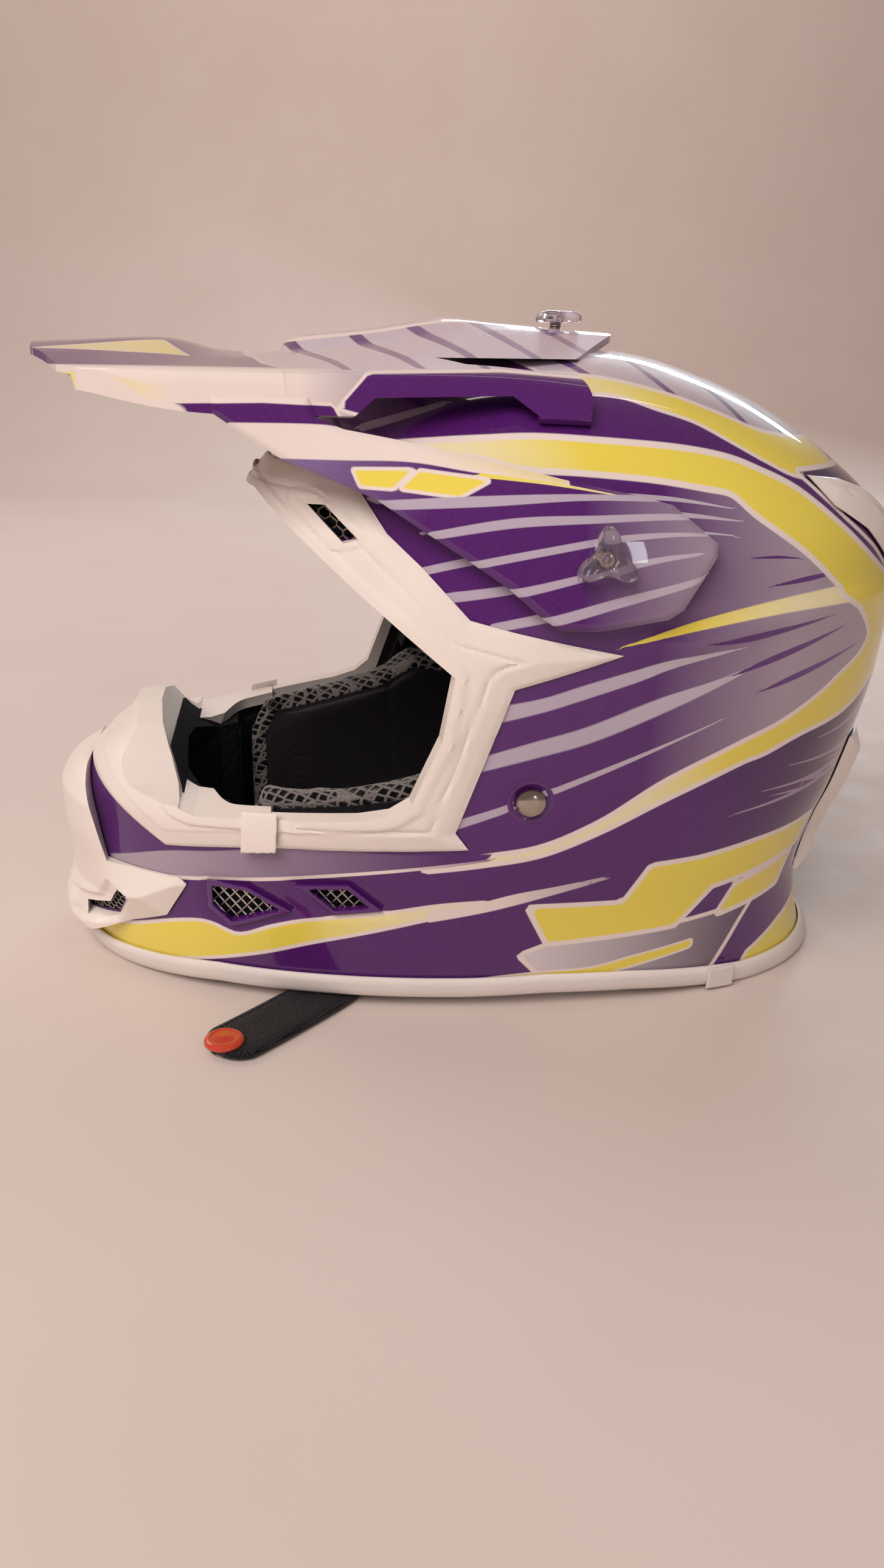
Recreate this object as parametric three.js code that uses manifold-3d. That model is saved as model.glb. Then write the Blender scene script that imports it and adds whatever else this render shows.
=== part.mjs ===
// Motocross helmet: a painted composite shell with its peak, eye port trim, mouthpiece, vents,
// shock absorbing liners, comfort pads and chin strap.
// Millimetres, +Z up. The helmet faces -Y and the wearer's left is +X. The origin is on the ground
// under the middle of the helmet.
import * as THREE from "three";
import { mergeVertices } from "three/addons/utils/BufferGeometryUtils.js";
import Module from "manifold-3d";

const wasm = await Module();
wasm.setup();

// ---------------------------------------------------------------- driving dimensions

const SHELL_THICKNESS = 4;
const GAP = 0.3; // clearance between pieces that touch
const WIDE = 200; // half length of the prisms that cut right through the helmet

// Shell sections from the base up: height, half width, y of the widest point, front, back.
const SECTIONS = [
  [-14, 90, 20, -156, 152],
  [0, 94, 20, -163, 155],
  [16, 98, 20, -167, 150],
  [40, 103, 20, -166, 147],
  [62, 108, 22, -165, 153],
  [80, 111.5, 24, -160, 161],
  [104, 116, 26, -131, 168],
  [130, 120, 28, -111, 172.5],
  [158, 122, 32, -97, 173],
  [184, 119, 34, -89, 166],
  [207, 108, 32, -77, 142],
  [224.5, 91, 28, -59, 115],
  [236.5, 66, 25, -37, 86],
  [243, 37, 24, -12, 61],
  [245, 0, 24, 24, 24],
];
const FRONT_ROUNDNESS = 2; // superellipse power of the plan section in front, an ellipse
// The same power behind, by height: squarer at the nape, nearly an ellipse at the crown.
const BACK_ROUNDNESS = [
  [0, 2.8],
  [100, 2.35],
  [190, 2.3],
  [240, 2.05],
];
// Facets around and from base to crown, on the shell and, further in, on the soft liners.
const SHELL_FACETS = [28, 12];
const LINER_FACETS = [20, 9];
const LINER_DEPTH = 20; // from here inwards the liners' facets are used

// Lower edge of the rim, y and height: it stands on the chin and the nape and is arched between.
const RIM_LINE = [
  [-200, 0],
  [-150, 0],
  [-128, 2],
  [-105, 4.4],
  [-60, 4.7],
  [-10, 4.8],
  [20, 5.6],
  [55, 4.6],
  [90, 1.6],
  [106, 0],
  [200, 0],
];
const RIM_HEIGHT = 9.5;
const RIM_SEAT = 2.8; // height of the shell's lower edge above the rim's
const RIM_LIP = 2.6; // thickness of the rubber outside the shell

// Outlines seen from the side, as y and z.
const EYE_PORT = [
  [-230, 193],
  [-86, 193],
  [-20, 139],
  [-24, 116],
  [-34, 92],
  [-41, 87],
  [-52, 84.5],
  [-112, 79],
  [-117.5, 80.5],
  [-123.5, 93],
  [-128, 104.5],
  [-230, 104.5],
];
const SHELL_PORT = [
  [-230, 198],
  [-86, 198],
  [-14, 141],
  [-19, 114],
  [-30, 86],
  [-52, 79],
  [-108, 74],
  [-117, 80],
  [-122, 92],
  [-230, 92],
];
const TRIM = [
  [-120, 204],
  [-60, 203],
  [-50, 198],
  [-41, 184],
  [-30, 174],
  [-15, 158],
  [0, 154.5],
  [36, 147],
  [0, 135],
  [-18, 80],
  [-13, 73],
  [-83, 69.6],
  [-83, 90],
  [-120, 170],
];
const NOSE = [
  [-83.4, 69.6],
  [-104, 66.5],
  [-124, 63],
  [-157.6, 83],
  [-230, 84],
  [-230, 130],
  [-83.4, 130],
];
const CHIN_VENT = [
  [-230, 83.4],
  [-158, 82.4],
  [-150, 48.5],
  [-120, 50],
  [-117, 47.5],
  [-126, 31.5],
  [-166, 12.5],
  [-230, 12.5],
];
const CHIN_SLOT = [
  [-161, 20],
  [-147, 25],
  [-142, 36],
  [-146, 37],
  [-150, 29],
  [-161, 24.5],
];
const FRONT_VENT = [
  [-107, 49],
  [-94, 49],
  [-81, 42],
  [-100, 34],
  [-107, 40],
];
const REAR_VENT = [
  [-71, 52.7],
  [-56.5, 54],
  [-47.5, 46.2],
  [-61, 44],
];
const BROW_VENT = [
  [-67, 191],
  [-61, 191.5],
  [-50.5, 181.5],
  [-55.5, 180],
];
const CLIP = [
  [-95, 67.4],
  [-82, 69.2],
  [-81, 84.6],
  [-94, 83.6],
];
const REAR_SPOILER = [
  [107, 203],
  [123, 201],
  [139, 196.5],
  [156, 187],
  [200, 187],
  [200, 160],
  [163, 160],
  [148, 172],
  [134, 184],
  [117, 193],
];
const REAR_EXHAUST = [
  [146, 100],
  [200, 100],
  [200, 36],
  [132, 36],
  [139, 54],
];
const SIDE_PLATE = [
  [-98, 222],
  [-88, 215.5],
  [-75, 207.5],
  [-56, 200.4],
  [-45, 196],
  [-17, 178.5],
  [-4, 170],
  [7, 160.5],
  [13, 156.8],
  [26, 156.5],
  [49, 160],
  [54, 163],
  [65, 180],
  [65, 184],
  [50, 196],
  [40, 198.5],
  [15, 203.5],
  [-28, 213],
  [-55, 217.5],
  [-64, 221],
  [-66, 227],
  [-98, 227],
];

// The part of the liner that the cheek pads take up.
const CHEEK_ZONE = [
  [-99, 0],
  [44, 0],
  [40, 70],
  [26, 108],
  [-12, 108],
  [-40, 90],
  [-99, 82],
];
const CHEEK_PAD = [
  [-96, 20],
  [38, 20],
  [35, 66],
  [20, 96],
  [-14, 98],
  [-32, 84],
  [-52, 80],
  [-92, 73],
  [-96, 60],
];
const BRIDGE_BACK = -101; // y of the back of the mouthpiece's bridge, in front of the lip
const CHIN_BACK = -100; // y of the back of the chin liner
// Upper edge of the mouthpiece seen from the front, x and z, from the middle to the left.
const NOSE_ARCH = [
  [0, 104.5],
  [9, 104.5],
  [29, 100],
  [42, 90.5],
  [56, 83.5],
  [70, 81],
  [80, 81.5],
  [84, 95],
];
const NOSE_CAP = 2.6; // thickness of the mouthpiece where it caps the shell and the chin liner
// What is cut from under the peak's arm, so that the shell shows between it and the side plate.
const ARM_NOTCH = [
  [-60, 200],
  [-60, 214],
  [-44, 227.2],
  [1, 228.4],
  [9, 222.4],
  [12, 200],
];

const PIVOT = { y: 26.5, z: 180 }; // the side screws, which the peak tilts about
const TOP_SCREW_Y = 35;
const SLOT_FRONT = 10; // from the top screw to the ends of its slot in the peak
const SLOT_BACK = 8;
const RIVET = { y: 8.4, z: 92 };
const HOLE = 3.3; // radius of the clearance holes for the peak screws
const BROW_SCREW = { y: -84.6, z: 197.5 };
const STUD = 2.5; // radius of the screws' and rivets' shanks
const NUT_ROOM = 9.5; // radius of the holes in the liner round the peak's nuts
const WASHER_ROOM = 11; // and round the strap rivets' washers
const LINER = 30; // depth of the inside of the crown liner below the shell's surface
const CHIN_LINER = 24;
const SIDE_LINER = 11.7;
const COMFORT = 8;

// Peak sections from the front back: y, then x and z of the crest, shoulder, valley, edge and hem.
const PEAK_SECTIONS = [
  [-178, 0, 243.5, 12, 242.8, 32, 239.5, 50, 235.5, 51, 231],
  [-150, 0, 245, 13, 244.2, 36, 240.4, 60, 235.2, 61, 229.5],
  [-118, 0, 246.2, 14, 245.2, 40, 240.4, 73, 235.4, 74.5, 223.5],
  [-97, 0, 242, 14, 241.4, 42, 239.4, 79, 235.3, 80.5, 221.5],
  [-76, 0, 242, 14, 241.4, 43, 239.6, 83.5, 235.2, 86, 221.5],
  [-70, 0, 247, 13, 246, 26, 241.6, 84, 235.1, 87, 221.5],
  [-40, 0, 250.6, 13, 249.4, 27, 244.5, 87, 234.8, 91, 221.5],
  [-12, 0, 254.6, 13, 253.4, 28, 249, 89, 234.4, 95, 221.5],
  [10, 0, 253.4, 12, 252.6, 26, 250, 90, 233.6, 99, 221.5],
  [36, 0, 251.6, 10, 251, 20, 249.4, 90, 231.5, 102, 221],
  [60, 0, 250, 8, 249.6, 14, 248.4, 88, 230, 102, 220],
];
const PEAK_THICKNESS = 2.6;
const PEAK_SPAN = [205, 265]; // heights between which the peak is cut to shape
const PEAK_PLAN = [
  [0, -168],
  [22, -165],
  [40, -156.5],
  [54, -151],
  [62, -143],
  [84, -98],
  [120, -60],
  [120, 20],
  [95, 28],
  [70, 24],
  [40, 40],
  [13, 54.5],
  [0, 56],
];
const PEAK_OPENING = [
  [19, 70],
  [21, 45],
  [33, 5],
  [42, -18],
  [58, -26],
  [74, -12],
  [80, 10],
  [78, 70],
];
// Inner face of the peak's side plate: rows from the front back, columns from the top down.
const PLATE_HEIGHTS = [229, 205, 185, 156];
const PLATE_ROWS = [
  [-100, 79, 83, 86, 88],
  [-75, 83.5, 89, 93, 95],
  [-52, 87, 96, 102, 105],
  [-20, 92, 106, 114, 118],
  [10, 97, 112.5, 121, 125],
  [36, 98, 113.5, 122.8, 126.5],
  [68, 94, 110.5, 121, 125],
];

// ---------------------------------------------------------------- geometry helpers

function solid(geometry) {
  const bare = geometry.index ? geometry.toNonIndexed() : geometry.clone();
  bare.deleteAttribute("normal");
  bare.deleteAttribute("uv");
  const merged = mergeVertices(bare, 1e-4);
  return new wasm.Manifold(
    new wasm.Mesh({
      numProp: 3,
      vertProperties: merged.attributes.position.array,
      triVerts: new Uint32Array(merged.index.array),
    }),
  );
}

function geometryOf(made) {
  const mesh = made.getMesh();
  const geometry = new THREE.BufferGeometry();
  geometry.setAttribute("position", new THREE.BufferAttribute(mesh.vertProperties, 3));
  geometry.setIndex(new THREE.BufferAttribute(mesh.triVerts, 1));
  geometry.computeVertexNormals();
  return geometry;
}

function buildGeometry(points, triangles) {
  const geometry = new THREE.BufferGeometry();
  geometry.setAttribute("position", new THREE.Float32BufferAttribute(points.flat(), 3));
  geometry.setIndex(triangles);
  return geometry;
}

// Rings of equally many points, joined in order. Each end is closed by a fan, or the last ring
// joins the first when closed is true.
function loft(rings, closed = false) {
  const n = rings[0].length;
  const points = rings.flat();
  const triangles = [];
  const steps = closed ? rings.length : rings.length - 1;
  for (let i = 0; i < steps; i++) {
    const a = i * n;
    const b = ((i + 1) % rings.length) * n;
    for (let j = 0; j < n; j++) {
      const k = (j + 1) % n;
      triangles.push(a + j, a + k, b + j, a + k, b + k, b + j);
    }
  }
  if (!closed) {
    for (const [start, flip] of [
      [0, true],
      [(rings.length - 1) * n, false],
    ]) {
      const centre = [0, 1, 2].map((c) => mean(points.slice(start, start + n).map((p) => p[c])));
      points.push(centre);
      for (let j = 0; j < n; j++) {
        const k = (j + 1) % n;
        const face = [start + j, start + k, points.length - 1];
        triangles.push(...(flip ? face.reverse() : face));
      }
    }
  }
  return facingOut(solid(buildGeometry(points, triangles)), points, triangles);
}

function mean(values) {
  return values.reduce((sum, value) => sum + value, 0) / values.length;
}

// The same solid with its faces turned, if its rings ran the other way round.
function facingOut(made, points, triangles) {
  return made.volume() > 0 ? made : solid(buildGeometry(points, triangles.slice().reverse()));
}

function shapeOf(outline) {
  return new THREE.Shape(outline.map(([a, b]) => new THREE.Vector2(a, b)));
}

// A side view outline of y and z, extruded along X from one x to another.
function prismX(outline, from = -WIDE, to = WIDE) {
  const geometry = new THREE.ExtrudeGeometry(shapeOf(outline), {
    depth: to - from,
    bevelEnabled: false,
  });
  geometry.applyMatrix4(
    new THREE.Matrix4().makeBasis(
      new THREE.Vector3(0, 1, 0),
      new THREE.Vector3(0, 0, 1),
      new THREE.Vector3(1, 0, 0),
    ),
  );
  geometry.translate(from, 0, 0);
  return solid(geometry);
}

// A plan outline of x and y, extruded along Z.
function prismZ(outline, from, to) {
  const geometry = new THREE.ExtrudeGeometry(shapeOf(outline), {
    depth: to - from,
    bevelEnabled: false,
  });
  geometry.translate(0, 0, from);
  return solid(geometry);
}

// The same geometry with its faces turned.
function flipped(geometry) {
  const index = geometry.index.array;
  for (let i = 0; i < index.length; i += 3) {
    [index[i + 1], index[i + 2]] = [index[i + 2], index[i + 1]];
  }
  return geometry;
}

function mirrored(made) {
  const geometry = geometryOf(made);
  geometry.scale(-1, 1, 1);
  return solid(flipped(geometry));
}

function cylinderX(radius, from, to, y, z, sides = 16) {
  const geometry = new THREE.CylinderGeometry(radius, radius, to - from, sides);
  geometry.rotateZ(-Math.PI / 2);
  geometry.translate((from + to) / 2, y, z);
  return solid(geometry);
}

function cylinderZ(radius, from, to, x, y, sides = 16) {
  const geometry = new THREE.CylinderGeometry(radius, radius, to - from, sides);
  geometry.rotateX(Math.PI / 2);
  geometry.translate(x, y, (from + to) / 2);
  return solid(geometry);
}

// A turned piece whose profile is radius and height, with its axis along X or Z at a place.
function turned(profile, axis, place, sides = 20) {
  const geometry = new THREE.LatheGeometry(
    profile.map(([radius, height]) => new THREE.Vector2(radius, height)),
    sides,
  );
  if (axis === "x") geometry.rotateZ(-Math.PI / 2);
  if (axis === "z") geometry.rotateX(Math.PI / 2);
  if (axis === "y") geometry.rotateZ(Math.PI);
  geometry.translate(...place);
  const made = solid(geometry);
  return made.volume() > 0 ? made : solid(flipped(geometry));
}

// Catmull-Rom value of each column of a table at a position counted in rows.
function alongTable(table, position) {
  const last = table.length - 1;
  const row = Math.min(Math.floor(position), last - 1);
  const f = position - row;
  const pick = (i) => table[Math.max(0, Math.min(last, i))];
  const [p0, p1, p2, p3] = [pick(row - 1), pick(row), pick(row + 1), pick(row + 2)];
  return p1.map((value, c) => {
    const m1 = (p2[c] - p0[c]) / 2;
    const m2 = (p3[c] - p1[c]) / 2;
    const h = f * f * (3 - 2 * f);
    return value + (p2[c] - value) * h + f * (1 - f) * ((1 - f) * m1 - f * m2);
  });
}

function interpolate(table, at) {
  let i = 0;
  while (i < table.length - 2 && at > table[i + 1][0]) i++;
  const [a, b] = [table[i], table[i + 1]];
  const f = Math.max(0, Math.min(1, (at - a[0]) / (b[0] - a[0])));
  return a[1] + (b[1] - a[1]) * f * f * (3 - 2 * f);
}

// ---------------------------------------------------------------- the shell's surface

function roundness(z, behind) {
  return behind ? interpolate(BACK_ROUNDNESS, z) : FRONT_ROUNDNESS;
}

// The point on the shell at an angle round it, 0 at the front and 90 degrees at the left, and a
// position counted in sections.
function onShell(angle, position) {
  const [z, half, wide, front, back] = alongTable(SECTIONS, position);
  const c = Math.cos(angle);
  const s = Math.sin(angle);
  const power = 2 / roundness(z, c < 0);
  const reach = c > 0 ? wide - front : back - wide;
  return new THREE.Vector3(
    half * Math.sign(s) * Math.abs(s) ** power,
    wide - reach * Math.sign(c) * Math.abs(c) ** power,
    z,
  );
}

const LAST = SECTIONS.length - 1;

// The same point moved along the surface's outward normal.
function offShell(angle, position, distance) {
  const step = 0.02;
  const here = onShell(angle, Math.min(position, LAST - 2 * step));
  const round = onShell(angle + step, Math.min(position, LAST - 2 * step)).sub(here);
  const up = onShell(angle, Math.min(position, LAST - 2 * step) + step).sub(here);
  const normal = round.cross(up).normalize();
  if (position >= LAST) normal.set(0, 0, 1);
  return onShell(angle, position).addScaledVector(normal, distance);
}

// Everything inside the surface a distance off the shell, closed at the base and the crown.
function blob(distance) {
  const [around, rise] = distance > -LINER_DEPTH ? SHELL_FACETS : LINER_FACETS;
  const points = [];
  for (let i = 0; i < rise; i++) {
    for (let j = 0; j < around; j++) {
      const angle = (2 * Math.PI * j) / around;
      points.push(offShell(angle, (LAST * i) / rise, distance).toArray());
    }
  }
  const triangles = [];
  for (let i = 0; i < rise - 1; i++) {
    for (let j = 0; j < around; j++) {
      const k = (j + 1) % around;
      const [a, b] = [i * around, (i + 1) * around];
      triangles.push(a + j, a + k, b + j, a + k, b + k, b + j);
    }
  }
  const base = points.push([0, 20, points[0][2] - (distance < 0 ? 6 : 0)]) - 1;
  const crown = points.push(offShell(0, LAST, distance).toArray()) - 1;
  for (let j = 0; j < around; j++) {
    const k = (j + 1) % around;
    triangles.push(base, k, j);
    triangles.push(crown, (rise - 1) * around + j, (rise - 1) * around + k);
  }
  const made = solid(buildGeometry(points, triangles));
  return made.volume() > 0 ? made : solid(buildGeometry(points, triangles.reverse()));
}

// Half width of the shell at a place in the side view.
function shellX(y, z) {
  let low = 0;
  let high = LAST;
  for (let i = 0; i < 30; i++) {
    const middle = (low + high) / 2;
    if (alongTable(SECTIONS, middle)[0] < z) low = middle;
    else high = middle;
  }
  const [, half, wide, front, back] = alongTable(SECTIONS, low);
  const behind = y > wide;
  const across = behind ? (y - wide) / (back - wide) : (wide - y) / (wide - front);
  const power = roundness(z, behind);
  return half * (1 - Math.min(1, across) ** power) ** (1 / power);
}

const blobs = new Map();

function body(distance) {
  if (!blobs.has(distance)) blobs.set(distance, blob(distance));
  return blobs.get(distance);
}

// The layer between two distances off the shell.
function layer(inner, outer) {
  return body(outer).subtract(body(inner));
}

// ---------------------------------------------------------------- outlines and common cuts

// An outline moved inwards all round, or outwards if the distance is negative.
function inset(outline, distance) {
  const n = outline.length;
  const turn = THREE.ShapeUtils.isClockWise(shapeOf(outline).getPoints()) ? -1 : 1;
  return outline.map((point, i) => {
    const before = outline[(i + n - 1) % n];
    const after = outline[(i + 1) % n];
    const a = new THREE.Vector2(point[0] - before[0], point[1] - before[1]).normalize();
    const b = new THREE.Vector2(after[0] - point[0], after[1] - point[1]).normalize();
    const inward = new THREE.Vector2(-(a.y + b.y), a.x + b.x).normalize().multiplyScalar(turn);
    const mitre = distance / Math.max(0.35, inward.dot(new THREE.Vector2(-a.y, a.x)) * turn);
    return [point[0] + inward.x * mitre, point[1] + inward.y * mitre];
  });
}

// Everything below the rim's lower edge, raised by an amount.
function belowRim(raise) {
  const top = RIM_LINE.map(([y, z]) => [y, z + raise]);
  return prismX([...top, [200, -60], [-200, -60]]);
}

// A front view outline of x and z, extruded along the whole length.
function prismY(outline) {
  const geometry = new THREE.ExtrudeGeometry(shapeOf(outline), {
    depth: 2 * WIDE,
    bevelEnabled: false,
  });
  geometry.rotateX(Math.PI / 2);
  geometry.translate(0, WIDE, 0);
  return solid(geometry);
}

function mirrorPlan(outline) {
  return [...outline, ...outline.slice(1, -1).reverse().map(([x, y]) => [-x, y])];
}

// Everything in front of a y.
function inFrontOf(y, top = WIDE) {
  return prismX([
    [-230, -60],
    [y, -60],
    [y, top],
    [-230, top],
  ]);
}

// Below the mouthpiece's upper edge, out to the sides.
function belowArch() {
  const outline = [...NOSE_ARCH, [140, 95], [140, 40], [0, 40]];
  return prismY(mirrorPlan(outline));
}

// The chin's space above an edge a distance below the mouthpiece's.
function aboveArch(lowered) {
  const edge = NOSE_ARCH.map(([x, z]) => [x, z - lowered]);
  return prismY(mirrorPlan([...edge, [84, 140], [0, 140]])).intersect(
    inFrontOf(BRIDGE_BACK + 2 * GAP),
  );
}

const SIDES = [
  ["left", 1],
  ["right", -1],
];

function onSide(made, side) {
  return side > 0 ? made : mirrored(made);
}

// A side view outline cut out of the left half only.
function leftPrism(outline) {
  return prismX(outline, 0, WIDE);
}

// Holes through both sides of the helmet, along X.
function holesAcross(radius, place, sides = 14) {
  return cylinderX(radius, -WIDE, WIDE, place.y, place.z, sides);
}

// The hole for the top screw, along Z.
function topHole(radius, sides = 14) {
  return cylinderZ(radius, 200, 260, 0, TOP_SCREW_Y, sides);
}

// ---------------------------------------------------------------- the shell and its trims

const shellSpace = layer(-SHELL_THICKNESS - GAP, GAP).subtract(belowRim(RIM_SEAT - GAP));

function outerShell() {
  return layer(-SHELL_THICKNESS, 0)
    .subtract(belowRim(RIM_SEAT))
    .subtract(prismX(SHELL_PORT))
    .subtract(aboveArch(NOSE_CAP + GAP))
    .subtract(prismX(CHIN_SLOT))
    .subtract(prismX(FRONT_VENT))
    .subtract(prismX(REAR_VENT))
    .subtract(prismX(BROW_VENT))
    .subtract(holesAcross(HOLE, PIVOT))
    .subtract(holesAcross(HOLE, RIVET))
    .subtract(topHole(HOLE));
}

function rimTrim() {
  return layer(-7, RIM_LIP + GAP)
    .intersect(belowRim(RIM_HEIGHT))
    .subtract(belowRim(0))
    .subtract(shellSpace);
}

// The join piece laps the outside of the rim.
function rimJoin() {
  return layer(RIM_LIP + 2 * GAP, RIM_LIP + 2)
    .intersect(belowRim(RIM_HEIGHT + 1))
    .subtract(belowRim(1))
    .intersect(
      leftPrism([
        [88, -5],
        [100, -5],
        [100, 20],
        [88, 20],
      ]),
    );
}

const portSpace = shellSpace.subtract(prismX(inset(SHELL_PORT, GAP)));

function eyePortTrim() {
  return layer(-SHELL_THICKNESS, RIM_LIP + GAP)
    .intersect(prismX(TRIM))
    .subtract(prismX(EYE_PORT))
    .subtract(portSpace)
    .subtract(prismX(BROW_VENT))
    .subtract(screwRecess());
}

function mouthpiece() {
  const skirt = layer(GAP, RIM_LIP + GAP).intersect(prismX(NOSE));
  const port = prismX(inset(SHELL_PORT, GAP)).intersect(prismX(NOSE));
  const lip = layer(-9, RIM_LIP + GAP).intersect(port);
  const bridge = layer(-CHIN_LINER, RIM_LIP + GAP)
    .intersect(port)
    .intersect(inFrontOf(BRIDGE_BACK));
  const cap = layer(-CHIN_LINER, RIM_LIP + GAP)
    .intersect(aboveArch(NOSE_CAP))
    .intersect(prismX(NOSE));
  return skirt
    .add(lip)
    .add(bridge)
    .add(cap)
    .intersect(belowArch())
    .subtract(prismX(EYE_PORT));
}

function clip() {
  return layer(RIM_LIP + 3 * GAP, RIM_LIP + 2.6).intersect(leftPrism(CLIP));
}

// A plate let into an opening of the shell.
function grille(outline) {
  return layer(-3.4, -1.6).intersect(leftPrism(inset(outline, GAP)));
}

function mouthVent() {
  return layer(GAP, 7.5)
    .intersect(prismX(CHIN_VENT))
    .subtract(prismX(inset(CHIN_SLOT, -0.5)))
    .subtract(body(RIM_LIP + 2 * GAP).intersect(belowRim(RIM_HEIGHT + GAP)));
}

function rearScoop() {
  return layer(2 * GAP, 3.6).intersect(prismX(REAR_SPOILER));
}

function rearExhaust() {
  return layer(2 * GAP, 7.5)
    .intersect(leftPrism(REAR_EXHAUST))
    .subtract(prismX(REAR_EXHAUST, -30, 30));
}

// ---------------------------------------------------------------- liners and pads

function crownLiner() {
  return layer(-LINER, -SHELL_THICKNESS - GAP)
    .subtract(body(-SIDE_LINER).intersect(prismX(CHEEK_ZONE)))
    .subtract(belowRim(RIM_HEIGHT + 0.5))
    .subtract(prismX(inset(SHELL_PORT, -4)))
    .subtract(inFrontOf(CHIN_BACK + 2 * GAP, 110))
    .subtract(strapRoom())
    .subtract(mirrored(strapRoom()))
    .subtract(holesAcross(NUT_ROOM, PIVOT))
    .subtract(holesAcross(WASHER_ROOM, RIVET))
    .subtract(topHole(NUT_ROOM));
}

function chinLiner() {
  return layer(-CHIN_LINER, -SHELL_THICKNESS - GAP)
    .intersect(inFrontOf(CHIN_BACK, 110))
    .subtract(belowRim(RIM_HEIGHT + 0.5))
    .subtract(aboveArch(NOSE_CAP + GAP))
    .subtract(prismX(SHELL_PORT));
}

function breathFoam() {
  return layer(-CHIN_LINER - 6, -CHIN_LINER - GAP)
    .intersect(
      prismX([
        [-230, 16],
        [-108, 16],
        [-108, 74],
        [-230, 74],
      ]),
    );
}

function comfortLiner() {
  return layer(-LINER - COMFORT, -LINER - GAP)
    .subtract(prismX(inset(SHELL_PORT, -4)))
    .subtract(
      prismX([
        [-230, -60],
        [-230, 112],
        [26, 112],
        [60, 96],
        [60, 78],
        [230, 78],
        [230, -60],
      ]),
    );
}

function cheekPad() {
  return layer(-40, -17)
    .intersect(leftPrism(CHEEK_PAD))
    .subtract(cylinderX(7, 60, rivetX - 14, RIVET.y, RIVET.z, 12).subtract(body(-21)));
}

function neckRoll() {
  return layer(-LINER - 9, -LINER - GAP)
    .intersect(
      prismX([
        [62, 76],
        [230, 76],
        [230, 12],
        [62, 12],
      ]),
    );
}

// ---------------------------------------------------------------- the peak

// One rib of the peak's top sheet, right to left over the outside and back along the inside.
function peakRing(row) {
  const outside = [];
  for (let i = 5; i >= 1; i--) outside.push([-row[2 * i - 1], row[2 * i]]);
  for (let i = 2; i <= 5; i++) outside.push([row[2 * i - 1], row[2 * i]]);
  const normal = (i) => {
    const before = outside[Math.max(0, i - 1)];
    const after = outside[Math.min(outside.length - 1, i + 1)];
    const length = Math.hypot(after[0] - before[0], after[1] - before[1]);
    return [(after[1] - before[1]) / length, -(after[0] - before[0]) / length];
  };
  const inside = outside.map(([x, z], i) => {
    const [nx, nz] = normal(i);
    return [x + nx * PEAK_THICKNESS, z + nz * PEAK_THICKNESS];
  });
  return [...outside, ...inside.reverse()].map(([x, z]) => [x, row[0], z]);
}

// A thin side plate whose inner face goes through the rows of the table.
function sidePlate() {
  const rings = PLATE_ROWS.map(([y, ...xs]) => {
    const inner = xs.map((x, i) => [x, y, PLATE_HEIGHTS[i]]);
    const outer = xs.map((x, i) => [x + PEAK_THICKNESS, y, PLATE_HEIGHTS[i]]);
    return [...inner, ...outer.reverse()];
  });
  return loft(rings).intersect(leftPrism(SIDE_PLATE));
}

function peak() {
  const plate = sidePlate();
  const slot = prismZ(
    [
      [-HOLE, TOP_SCREW_Y - SLOT_FRONT],
      [HOLE, TOP_SCREW_Y - SLOT_FRONT],
      [HOLE, TOP_SCREW_Y + SLOT_BACK],
      [-HOLE, TOP_SCREW_Y + SLOT_BACK],
    ],
    ...PEAK_SPAN,
  );
  const opening = prismZ(PEAK_OPENING, ...PEAK_SPAN);
  return loft(PEAK_SECTIONS.map(peakRing))
    .intersect(prismZ(mirrorPlan(PEAK_PLAN), ...PEAK_SPAN))
    .subtract(opening)
    .subtract(mirrored(opening))
    .subtract(slot)
    .subtract(prismX(ARM_NOTCH))
    .add(plate)
    .add(mirrored(plate))
    .subtract(holesAcross(HOLE, PIVOT));
}

// ---------------------------------------------------------------- fasteners

const sideX = shellX(PIVOT.y, PIVOT.z);
const plateX = 122.8; // inner face of the side plate at the side screws
const KNOB_RADIUS = 10.8;
const shellTop = 244.9;
const peakTop = 251.6; // outside of the peak at the top screw

// A thumb screw: a three lobed knob and its shank in one, from the outside to the inside.
function knob(from, height, shankEnd) {
  const lobes = [];
  const steps = 24;
  for (let i = 0; i < steps; i++) {
    const angle = (2 * Math.PI * i) / steps;
    const radius = KNOB_RADIUS - 1.7 + 1.7 * Math.cos(3 * angle);
    lobes.push([radius * Math.cos(angle), radius * Math.sin(angle)]);
  }
  const socket = cylinderZ(2.6, from + height - 2.5, from + height + 1, 0, 0, 6);
  return prismZ(lobes, from, from + height)
    .add(cylinderZ(STUD, shankEnd, from + 1, 0, 0, 12))
    .subtract(socket);
}

function moved(made, matrix) {
  const geometry = geometryOf(made);
  geometry.applyMatrix4(matrix);
  return solid(geometry);
}

// Turns a piece built along Z so that it points along X, at the side screws.
function toSide(made) {
  const turn = new THREE.Matrix4().makeRotationY(Math.PI / 2);
  turn.setPosition(0, PIVOT.y, PIVOT.z);
  return moved(made, turn);
}

function sideKnob() {
  return toSide(knob(plateX + PEAK_THICKNESS + 2.4, 6, sideX - 12));
}

function topKnob() {
  const place = new THREE.Matrix4().makeTranslation(0, TOP_SCREW_Y, 0);
  return moved(knob(peakTop + 2.2, 4.2, shellTop - 13), place);
}

function sideSpacer() {
  return cylinderX(6.5, sideX - 6, plateX - 1.6, PIVOT.y, PIVOT.z, 16)
    .subtract(body(GAP))
    .subtract(holesAcross(HOLE, PIVOT));
}

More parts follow.
